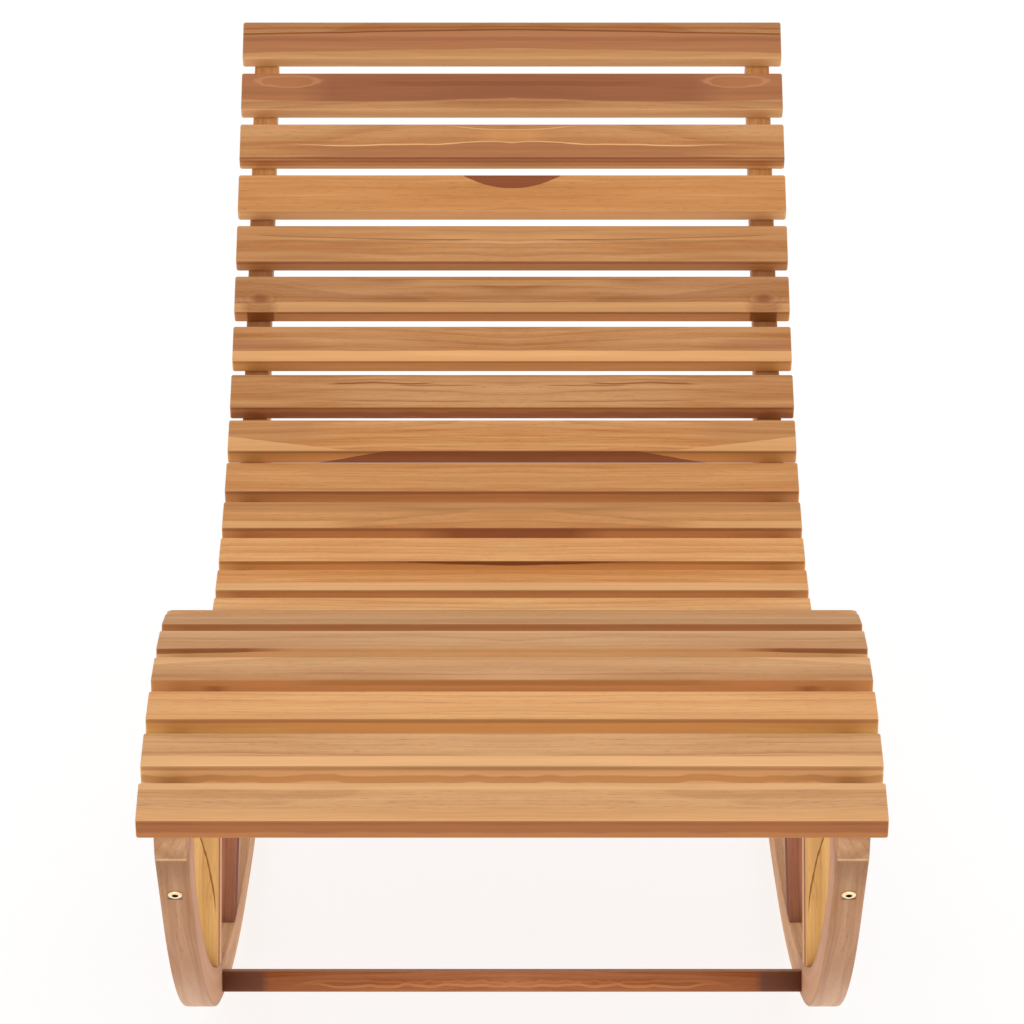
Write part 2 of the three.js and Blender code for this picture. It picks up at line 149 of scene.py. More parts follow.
FRONT_SHOULDER, REAR_SHOULDER = 0.714, 0.444
FRONT_SLOPE, REAR_SLOPE = math.radians(44.7), math.radians(65)
front_corner = beside(seat_line, RAIL_INSET, -DEPTH)
rear_corner = beside(seat_line, REAR_JOINT, -DEPTH)
front_turn, front_leg = leg_parts(front_corner, CONTACT - CONTACT_FLAT / 2, FRONT_SLOPE, FRONT_SHOULDER)
rear_turn, rear_leg = leg_parts(rear_corner, CONTACT + CONTACT_FLAT / 2, REAR_SLOPE, REAR_SHOULDER)
rocker_line = side_line(tuple(front_corner), -FRONT_SLOPE, [
    (front_leg, 0.0),
    (FRONT_SHOULDER * (FRONT_SLOPE - front_turn), FRONT_SLOPE - front_turn),
    (ROCKER * front_turn, front_turn),
    (CONTACT_FLAT, 0.0),
    (ROCKER * rear_turn, rear_turn),
    (REAR_SHOULDER * (REAR_SLOPE - rear_turn), REAR_SLOPE - rear_turn),
    (rear_leg, 0.0),
])
print("seat line %.3f m, rocker line %.3f m, straight leg %.3f m"
      % (seat_line.length, rocker_line.length, front_leg))

# %% [markdown]
# ## One way to make every board
#
# A board on the real lounger is sawn, planed, and then its long edges are taken off with
# sandpaper. A box with a Bevel modifier could do that for a straight board, but a curved one with
# half laps needs its flat sides divided so that the grain can bend with it. Here each board is an
# outline with a thickness: rings of the outline are stacked through the thickness, and the outer
# rings draw in on a quarter circle wherever the edge is sanded round. Each corner of the mesh also
# keeps its place in the wood, along the grain, across it and through it, which the material reads.

# %% Meshes from stacked rings
def ring_walls(rings, count):
    """The four-sided faces between stacked rings of count points each."""
    ring = np.arange(rings - 1)[:, None] * count
    i = np.arange(count)[None]
    j = (i + 1) % count
    return np.stack([ring + i, ring + j, ring + count + j, ring + count + i], -1).reshape(-1, 4).tolist()


def add_mesh(name, points, faces, smooth_count, **attributes):
    """An object from points and faces, of which the first ones are shaded smooth. Each attribute
    holds a number or a vector for every point."""
    mesh = bpy.data.meshes.new(name)
    mesh.from_pydata(points.tolist(), [], faces)
    mesh.polygons.foreach_set("use_smooth", np.arange(len(faces)) < smooth_count)
    for key, values in attributes.items():
        kind, field = ("FLOAT", "value") if values.ndim == 1 else ("FLOAT_VECTOR", "vector")
        data = mesh.attributes.new(key, kind, "POINT").data
        data.foreach_set(field, values.astype(np.float32).ravel())
    mesh.update()
    made = bpy.data.objects.new(name, mesh)
    bpy.context.scene.collection.objects.link(made)
    return made


def hang(piece, material, slot, *nodes):
    """Gives a finished piece its material and ties it to the solids that it stands for."""
    piece.data.materials.append(material)
    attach(piece, "root")
    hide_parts(*nodes)


# %% Rings of an outline, stacked through the thickness
ARC_STEPS = 3
CORNER_STEPS = 2
SUPPORT = 0.0006
ARRIS, SMALL_ARRIS = 0.0013, 0.0011
SMOOTH_TURN = 0.12


def inset_directions(outline, eased):
    """How each corner of a closed outline moves for an inset of 1 m. Outward normals n1 and n2
    belong to the sides before and after the corner, and f1 and f2 are 1 where that side is eased.
    The move a solves a . n1 = -f1 and a . n2 = -f2. Where the sine of the corner's turn is small,
    the corner is a point of a smooth curve and moves along the mean of the normals."""
    side = np.roll(outline, -1, axis=0) - outline
    length = np.maximum(np.linalg.norm(side, axis=1, keepdims=True), 1e-9)
    after = np.stack([side[:, 1], -side[:, 0]], -1) / length
    before = np.roll(after, 1, axis=0)
    f2 = np.asarray(eased, float)
    f1 = np.roll(f2, 1)
    cross = before[:, 0] * after[:, 1] - before[:, 1] * after[:, 0]
    smooth = np.abs(cross) < SMOOTH_TURN
    safe = np.where(smooth, 1.0, cross)
    sharp = np.stack([-(f1 * after[:, 1] - f2 * before[:, 1]) / safe,
                      (f1 * after[:, 0] - f2 * before[:, 0]) / safe], -1)
    mean = before + after
    mean /= np.maximum(np.linalg.norm(mean, axis=1, keepdims=True), 1e-9)
    return np.where(smooth[:, None], -mean * np.maximum(f1, f2)[:, None], sharp)


def board_rings(thickness, arris):
    """(height through the board, inset, wear and highlight) of each ring: on a quarter circle of radius
    r at the angle t, the height is r (1 - cos t) from the face and the inset is r (1 - sin t). The
    last value paints the arris paler, partly as wear and partly as a painted highlight."""
    t = np.linspace(0, math.pi / 2, ARC_STEPS + 1)
    heights = np.concatenate([-thickness / 2 + arris * (1 - np.cos(t)), [-thickness / 2 + arris + SUPPORT]])
    insets = np.concatenate([arris * (1 - np.sin(t)), [0.0]])
    wear_and_highlight = np.concatenate([np.sin(2 * t), [0.0]])
    return (np.concatenate([heights, -heights[::-1]]), np.concatenate([insets, insets[::-1]]),
            np.concatenate([wear_and_highlight, wear_and_highlight[::-1]]))


def make_board(name, outline, grain, heading, eased, panels, thickness, arris, place, hand=1.0):
    """A board from its closed outline. grain holds (along, across) at each corner and heading the
    direction of the grain in the outline's plane. panels are the polygons that cover a flat side,
    place turns (a, b, c) arrays into points of the model, and hand is -1 for mirrored wood."""
    count = len(outline)
    heights, insets, wear_and_highlight = board_rings(thickness, arris)
    move = inset_directions(outline, eased)
    spots = outline + insets[:, None, None] * move
    cos, sin = np.cos(heading), np.sin(heading)
    in_grain = np.stack([cos * move[:, 0] + sin * move[:, 1], cos * move[:, 1] - sin * move[:, 0]], -1)
    in_wood = grain + insets[:, None, None] * in_grain
    depth = np.repeat(heights, count)
    points = place(spots[..., 0].ravel(), spots[..., 1].ravel(), depth)
    wood = np.column_stack([in_wood.reshape(-1, 2), hand * depth])
    walls = ring_walls(len(heights), count)
    last = (len(heights) - 1) * count
    caps = [tuple(last + k for k in panel) for panel in panels]
    caps += [tuple(reversed(panel)) for panel in panels]
    return add_mesh(name, points, walls + caps, len(walls), grain=wood, arris=np.repeat(wear_and_highlight, count))


# %% The two ways in which a board lies in the lounger
def cross_board(name, outline, eased, thickness, arris, middle, slope):
    """A straight board across the lounger: its outline is (x, distance along the slope), and its
    thickness stands square to the slope."""
    def place(a, b, c):
        return np.column_stack([a, turned(middle, slope, b, c)])

    return make_board(name, outline, outline, 0.0, eased, [tuple(range(len(outline)))],
                      thickness, arris, place)


def side_board(name, outline, grain, heading, eased, panels, arris, x_side):
    """A board of a left or right side: its outline is (y, z), at its distance from the middle, and
    its wood mirrors that of the other side."""
    def place(a, b, c):
        return np.column_stack([c + x_side, a, b])

    return make_board(name, outline, grain, heading, eased, panels, THICKNESS, arris, place,
                      -math.copysign(1.0, x_side))


# %% A rectangle with small corner arcs, for straight boards
def rounded_rectangle(length, width, radius):
    """Corner arcs of a small radius, run round anticlockwise: each arc is
    centre + r (cos t, sin t) over a quarter turn. Two more points beside each arc keep the
    shading of the long sides flat."""
    rows = []
    for quarter, (sx, sy) in enumerate([(1, 1), (-1, 1), (-1, -1), (1, -1)]):
        t = np.linspace(0, math.pi / 2, CORNER_STEPS + 1) + quarter * math.pi / 2
        centre = np.array([sx * (length / 2 - radius), sy * (width / 2 - radius)])
        arc = centre + radius * np.stack([np.cos(t), np.sin(t)], -1)
        lead = np.array([math.sin(t[0]), -math.cos(t[0])]) * SUPPORT
        trail = np.array([-math.sin(t[-1]), math.cos(t[-1])]) * SUPPORT
        rows.append(np.concatenate([[arc[0] + lead], arc, [arc[-1] + trail]]))
    return np.concatenate(rows)


# %% [markdown]
# ## Teak
#
# Sanded teak is honey-coloured sapwood and tan to red-brown heartwood. Its figure comes from the
# growth rings that the saw has cut: straight lines where the cut is square to them, and long
# pointed arches where it is nearly flat. Over that lie fine fibres and short dark pores. An image
# could be laid on, but it would stretch over the curves, so the figure is worked out from each
# board's place in the wood. The steps are shared node groups, and each material sets their values.

# %% Arithmetic in a node tree
class Signal:
    """A socket of a node tree. Plain arithmetic on it adds Math nodes."""

    def __init__(self, tree, socket):
        self.tree, self.socket = tree, socket

    def maths(self, operation, *others, clamp=False):
        """One Math node on this value and others."""
        inputs = dict(enumerate((self, *others)))
        return put(self.tree, "ShaderNodeMath", inputs, operation=operation, use_clamp=clamp)[0]

    def __add__(self, other):
        return self.maths("ADD", other)

    def __sub__(self, other):
        return self.maths("SUBTRACT", other)

    def __mul__(self, other):
        return self.maths("MULTIPLY", other)

    def __truediv__(self, other):
        return self.maths("DIVIDE", other)

    def __abs__(self):
        return self.maths("ABSOLUTE")

    def remap(self, low, high, to_low=0.0, to_high=1.0, kind="SMOOTHSTEP"):
        """Maps the value from one range to another and holds it at the ends."""
        ranges = {"Value": self, "From Min": low, "From Max": high, "To Min": to_low, "To Max": to_high}
        return put(self.tree, "ShaderNodeMapRange", ranges, interpolation_type=kind)["Result"]

    def between(self, at_0, at_1):
        """Goes evenly from one value at 0 to another at 1."""
        return self.remap(0.0, 1.0, at_0, at_1, "LINEAR")


class Outputs:
    """The outputs of a node as signals, found by number or by name."""

    def __init__(self, tree, sockets):
        self.tree, self.sockets = tree, sockets

    def __getitem__(self, key):
        return Signal(self.tree, self.sockets[key])


# %% Helpers for node trees
def fill(inputs, values):
    """Links signals into a node's inputs, and sets the other values."""
    for key, value in values.items():
        if isinstance(value, Signal):
            value.tree.links.new(value.socket, inputs[key])
        else:
            inputs[key].default_value = value


def put(tree, kind, inputs=None, **settings):
    """Adds a node, sets its properties and fills its inputs."""
    made = tree.nodes.new(kind)
    for key, value in settings.items():
        setattr(made, key, value)
    fill(made.inputs, inputs or {})
    return Outputs(tree, made.outputs)


def use(tree, group, inputs):
    """Places a shared group in a material."""
    return put(tree, "ShaderNodeGroup", inputs, node_tree=group)


def blend(amount, a, b):
    """Mixes two colours."""
    return put(amount.tree, "ShaderNodeMix", {0: amount, 6: a, 7: b}, data_type="RGBA")[2]


def scaled(vector, factor):
    """A colour or a direction, times a signal."""
    return put(factor.tree, "ShaderNodeVectorMath", {0: vector, "Scale": factor}, operation="SCALE")[0]


def stretched(place, scale):
    """A place with its three directions scaled."""
    return put(place.tree, "ShaderNodeMapping", {"Vector": place, "Scale": scale})[0]


def noise(place, scale, detail, rough=0.5):
    """Noise at a place."""
    values = {"Vector": place, "Scale": scale, "Detail": detail, "Roughness": rough}
    return put(place.tree, "ShaderNodeTexNoise", values)


def attribute(tree, name):
    """What a mesh keeps at each of its points."""
    return put(tree, "ShaderNodeAttribute", attribute_name=name)


def bump(height, strength, distance):
    """A surface normal that follows a height."""
    values = {"Strength": strength, "Distance": distance, "Height": height}
    return put(height.tree, "ShaderNodeBump", values)[0]


SOCKETS = {"VALUE": "NodeSocketFloat", "RGBA": "NodeSocketColor", "VECTOR": "NodeSocketVector"}


def open_group(name, inputs):
    """Starts a node group whose inputs have a number as their default, or the name of a type."""
    tree = bpy.data.node_groups.new(name, "ShaderNodeTree")
    for key, value in inputs.items():
        kind = value if isinstance(value, str) else "VALUE"
        socket = tree.interface.new_socket(key, in_out="INPUT", socket_type=SOCKETS[kind])
        if kind == "VALUE":
            socket.default_value = value
    return tree, Outputs(tree, tree.nodes.new("NodeGroupInput").outputs)


def close_group(tree, results):
    """Gives a node group its outputs, of the same types as the results."""
    for key, result in results.items():
        tree.interface.new_socket(key, in_out="OUTPUT", socket_type=SOCKETS[result.socket.type])
    fill(tree.nodes.new("NodeGroupOutput").inputs, results)
    return tree


def new_material(name):
    """A material with its tree and its shader."""
    material = bpy.data.materials.new(name)
    material.use_nodes = True
    return material, material.node_tree, material.node_tree.nodes["Principled BSDF"]


def colour(paint):
    """A colour as it is seen on a screen, 0 to 255, made linear for the shader."""
    c = np.asarray(paint, float) / 255.0
    linear = np.where(c <= 0.04045, c / 12.92, ((c + 0.055) / 1.055) ** 2.4)
    return (*linear.tolist(), 1.0)


# %% Group: where a point lies in the log
DRIFT = 0.016

tree, given = open_group("Place in the log", {"Grain": "VECTOR", "Seed": 0.0, "Mirrored": 0.0})
x, across, depth = put(tree, "ShaderNodeSeparateXYZ", {0: given["Grain"]})
along = (abs(x) - x) * given["Mirrored"] + x
straight = put(tree, "ShaderNodeCombineXYZ", {0: along + given["Seed"], 1: across, 2: depth})[0]
drift = noise(stretched(straight, (3.8, 10.0, 10.0)), 1.0, 2.0)["Color"]
shift = put(tree, "ShaderNodeVectorMath",
            {0: drift, 1: (0.0, DRIFT, DRIFT), 2: (0.0, -DRIFT / 2, -DRIFT / 2)}, operation="MULTIPLY_ADD")[0]
log = put(tree, "ShaderNodeVectorMath", {0: straight, 1: shift}, operation="ADD")[0]
place_group = close_group(tree, {"Log": log, "Along": along, "Across": across, "Depth": depth})

# %% Group: growth rings round the pith, whose gaps are uneven and whose tones differ
RING_SHIFT = 0.012

tree, given = open_group("Growth rings", {"Log": "VECTOR", "Pith across": 0.0, "Pith depth": -0.05,
                                          "Taper": 0.02, "Gap": 0.006})
x, y, z = put(tree, "ShaderNodeSeparateXYZ", {0: given["Log"]})
across, depth = y - given["Pith across"], z - given["Pith depth"]
radius = x * given["Taper"] + (across * across + depth * depth).maths("SQRT")
uneven = put(tree, "ShaderNodeTexNoise", {"W": radius, "Scale": 60.0, "Detail": 2.0},
             noise_dimensions="1D")["Fac"]
turns = ((uneven - 0.5) * RING_SHIFT + radius) / given["Gap"]
whole, part = turns.maths("FLOOR"), turns.maths("FRACT")
late = part.maths("POWER", 5.0) * part.remap(1.0, 0.94)
tone, next_tone = (put(tree, "ShaderNodeTexWhiteNoise", {"W": w}, noise_dimensions="1D")["Value"]
                   for w in (whole, whole + 1.0))
tone = (next_tone - tone) * part.remap(0.55, 1.0) + tone
ring_group = close_group(tree, {"Late wood": late, "Ring tone": tone})

# %% Group: fibres, streaks, clouds and pores, from the scale, the detail and the lowest value seen
fibre_noises = {"Fibre": ((6.0, 430.0, 430.0), 3.0, 0.28), "Streaks": ((1.9, 105.0, 105.0), 4.0, 0.28),
                "Cloud": ((4.0, 26.0, 26.0), 2.0, 0.28), "Pores": ((75.0, 1400.0, 1400.0), 1.0, 0.6)}
HIGHEST = 0.72

tree, given = open_group("Fibres and pores", {"Log": "VECTOR"})
fibre_group = close_group(tree, {
    key: noise(stretched(given["Log"], scale), 1.0, detail, 0.6)["Fac"].remap(low, HIGHEST, kind="LINEAR")
    for key, (scale, detail, low) in fibre_noises.items()})

# %% Group: a streak along the board
FIBRE_WAVER = 0.0008
LIMIT_RAMP = 3000.0

tree, given = open_group("Streak", {
    "Log": "VECTOR", "Along": 0.0, "Across": 0.0, "Depth": 0.0, "Fibre": 0.5, "Middle": 0.0, "Rise": 0.0,
    "Bend": 0.0, "Lean": 0.0, "Half width": 0.01, "Soft": 0.003, "Waver": 0.004, "Wave": 9.0,
    "Start": -1.0, "End": 2.0, "Ramp": 25.0, "Limit": 1.0})
waver = (noise(stretched(given["Log"], (1.0, 0.2, 0.2)), given["Wave"], 1.5)["Fac"] - 0.5) * given["Waver"]
waver = (given["Fibre"] - 0.5) * FIBRE_WAVER + waver
middle = (given["Bend"] * given["Along"] + given["Rise"]) * given["Along"] + given["Middle"]
leaning = given["Depth"] * given["Lean"] + given["Across"]
edge = given["Half width"] + given["Soft"]
mask = abs(leaning - middle + waver).remap(given["Half width"], edge, 1.0, 0.0)
for high, low in (("Along", "Start"), ("End", "Along")):
    mask = mask * (given[high] - given[low]).maths("MULTIPLY", given["Ramp"], clamp=True)
below = (given["Limit"] - given["Across"]).maths("MULTIPLY", LIMIT_RAMP, clamp=True)
streak_group = close_group(tree, {"Mask": mask * below})

# %% Group: a knot with its swirl
tree, given = open_group("Knot", {"Log": "VECTOR", "Along": 0.0, "Across": 0.0, "At": 0.25, "Height": 0.0,
                                  "Size": 0.005, "Stretch": 2.2})
a = (given["Along"] - given["At"]) / (given["Size"] * given["Stretch"])
b = (given["Across"] - given["Height"]) / given["Size"]
far = (noise(given["Log"], 60.0, 2.0)["Fac"] - 0.5) * 0.7 + (a * a + b * b).maths("SQRT")
knot_group = close_group(tree, {
    "Core": far.remap(1.1, 0.5), "Swirl": (far * 8.0).maths("SINE") * far.remap(3.4, 0.9),
    "Rim": abs(far - 1.0).remap(0.2, 0.02)})

# %% Group: the colours of one board
CLOUD_SHARE, STREAK_SHARE, RING_SHARE, USUAL_SHADE = 0.75, 0.95, 0.4, 1.05
LATE_STRENGTH, PORE_STRENGTH = 0.34, 0.3

tree, given = open_group("Teak colour", {
    "Light": "RGBA", "Deep": "RGBA", "Line": "RGBA", "Late wood": 0.0, "Ring tone": 0.5, "Fibre": 0.5,
    "Streaks": 0.5, "Cloud": 0.5, "Pores": 0.0, "Figure": 1.0})
late, fibre, pores = given["Late wood"], given["Fibre"], given["Pores"]
shade = given["Streaks"] * STREAK_SHARE + (given["Cloud"] * CLOUD_SHARE + given["Ring tone"] * RING_SHARE)
shade = ((shade - USUAL_SHADE) * given["Figure"]).maths("ADD", 0.5, clamp=True)
base = blend(shade, given["Light"], given["Deep"])
lined = blend(late * (given["Figure"] * LATE_STRENGTH), base, given["Line"])
porous = blend(pores * PORE_STRENGTH, scaled(lined, fibre.between(1.09, 0.9)), given["Line"])
tint_group = close_group(tree, {"Colour": porous, "Roughness": fibre.between(0.56, 0.68),
                                "Height": late * 0.3 + (pores * -0.8 + fibre * 0.5)})

# %% A teak material from one board's description
SHEEN, DARKEST = 0.018, 0.003
LINE, PALE = (128, 70, 40), (230, 178, 124)
LIGHTER, DEEPER = (11, 13, 12), (15, 19, 18)
PAINT_LIGHT, PAINT_DEEP = 1.16, 0.86
WEAR_AND_HIGHLIGHT, RELIEF, RELIEF_DEPTH, SPECULAR = 0.16, 0.16, 0.0004, 0.22
KNOT = (("Swirl", 0.2, LINE), ("Core", 0.5, (112, 62, 42)))
LOOP = (("Core", 0.35, (182, 118, 74)), ("Rim", 0.45, (208, 150, 108)))


def stain(paint):
    """A wood colour as it is seen, less the white share that the sheen lays over it."""
    linear = np.array(colour(paint)[:3]) - SHEEN
    return (*np.maximum(linear, DARKEST).tolist(), 1.0)


def teak(name, tone, figure, seed, pith, gap, taper, mirrored=0.0, streaks=(), knots=(), loops=()):
    """A material for one board: a middle tone, and how strongly the figure leaves it. Streaks are
    (colour, strength, values of the Streak group); knots and loops are (place along, height, size,
    stretch), the first three in millimetres."""
    material, tree, shader = new_material(name)
    place = use(tree, place_group, {"Grain": attribute(tree, "grain")["Vector"], "Seed": seed,
                                    "Mirrored": mirrored})
    spot = {key: place[key] for key in ("Log", "Along", "Across")}
    rings = use(tree, ring_group, {"Log": place["Log"], "Pith across": pith[0], "Pith depth": pith[1],
                                   "Taper": taper, "Gap": gap})
    fibres = use(tree, fibre_group, {"Log": place["Log"]})
    tone = np.array(tone, float)
    tint = use(tree, tint_group, {
        "Light": stain(np.minimum(tone + LIGHTER, 250)), "Deep": stain(np.maximum(tone - DEEPER, 20)),
        "Line": stain(LINE), "Figure": figure, **{key: rings[key] for key in ("Late wood", "Ring tone")},
        **{key: fibres[key] for key in fibre_noises}})
    shown = tint["Colour"]
    for paint, strength, values in streaks:
        mask = use(tree, streak_group, {**spot, "Depth": place["Depth"], "Fibre": fibres["Fibre"],
                                        **values})["Mask"]
        painted = scaled(stain(paint)[:3], fibres["Streaks"].between(PAINT_LIGHT, PAINT_DEEP))
        shown = blend(mask * strength, shown, painted)
    for marks, places in ((KNOT, knots), (LOOP, loops)):
        for at, height, size, stretch in places:
            knot = use(tree, knot_group, {**spot, "At": at / 1e3, "Height": height / 1e3,
                                          "Size": size / 1e3, "Stretch": stretch})
            for key, strength, paint in marks:
                shown = blend(knot[key].maths("MULTIPLY", strength, clamp=True), shown, stain(paint))
    # The paler colour on the rounded arrises is partly wear and partly a painted highlight along each edge.
    fill(shader.inputs, {
        "Base Color": blend(attribute(tree, "arris")["Fac"] * WEAR_AND_HIGHLIGHT, shown, stain(PALE)),
        "Roughness": tint["Roughness"], "Normal": bump(tint["Height"], RELIEF, RELIEF_DEPTH),
        "Specular IOR Level": SPECULAR})
    return material


def streak(paint, strength, **values):
    """A streak in a board: half_width sets the group's value "Half width", and so on."""
    return paint, strength, {key.replace("_", " ").capitalize(): value for key, value in values.items()}


# %% [markdown]
# ## The slats
#
# Thirty slats, 600 mm long and 48 by 18 mm in section, lie across the rails. Each one rests on the
# straight line between the two points of the seat line under its edges. A single slat could be
# copied thirty times with an Array modifier, but then they would all show the same wood, so each
# has its own mesh and its own place in the log. Seen from the foot end, the left and right halves
# of every slat mirror each other, and the material folds the grain at the middle of the board.

# %% The figure of each slat, from the foot end upwards
SLAT_COUNT, SLAT_LENGTH, SLAT_WIDTH, SLAT_THICKNESS = 30, 0.6, 0.048, 0.018
SLAT_CORNER, SLAT_LIFT = 0.002, 0.0003
FRONT_EDGE, FRONT_REACH = -24, 0.8


def zone(low, high, paint, strength=0.9, soft=0.5, waver=3.0, **more):
    """A streak from one distance across the slat to another, in millimetres: -24 is its front
    edge and 24 its rear edge. Its middle is m + rise x + bend x^2 at the distance x from the
    centre. All the other values are in metres."""
    return streak(paint, strength, middle=(low + high) / 2e3, half_width=(high - low) / 2e3,
                  soft=soft / 1e3, waver=waver / 1e3, **more)


def rim(low, high, paint, strength=0.9, soft=0.5, **more):
    """The same on the front edge only, from one height over the middle of the edge to another."""
    return zone(low + FRONT_EDGE, high + FRONT_EDGE, paint, strength, soft, lean=1.0,
                limit=(FRONT_EDGE + FRONT_REACH) / 1e3, **more)


def front(paint):
    """The tone of the whole front edge."""
    return rim(-14, 14, paint, 0.92, waver=0.0)


def shadow_line(strength=0.4):
    """The darker line that the edge of many slats has along its top: painted shade under the arris."""
    return rim(6.4, 14, (104, 56, 28), strength, soft=2.4, waver=1.0)


# Tones of sanded teak in daylight: faces, bands in the faces, front edges, and marks on the front
# edges.
FAWN, HONEY, GOLD, AMBER = (220, 165, 115), (212, 156, 104), (245, 180, 120), (230, 162, 100)
WHEAT, TAN, RUSSET = (212, 150, 94), (200, 144, 95), (186, 132, 88)
CREAM_BAND, WARM_BAND, MID_BAND = (240, 185, 130), (230, 172, 116), (208, 155, 104)
RED_BAND, BROWN_BAND, HEART_BAND, DARK_VEIN = (175, 117, 80), (152, 96, 68), (140, 80, 55), (118, 65, 40)
# The front edge tones are partly the wood's own and partly painted light and shade, set for how each edge is
# lit where it faces down into the gap under it.
PALE_EDGE, WARM_EDGE, MID_EDGE, DARK_EDGE, CREST_EDGE = (
    (210, 160, 108), (196, 138, 80), (182, 124, 76), (162, 106, 66), (124, 74, 46))
# The mark colours serve both real marks in the wood and painted shade: the rims that darken the top of an
# edge along its whole length, on slats 23 to 26 and 28, are painted shade under the arris.
MARK_AND_SHADE, DEEP_MARK_AND_SHADE, SOFT_MARK_AND_SHADE, GOLD_MARK = (138, 82, 54), (120, 70, 40), (160, 108, 60), (205, 160, 85)

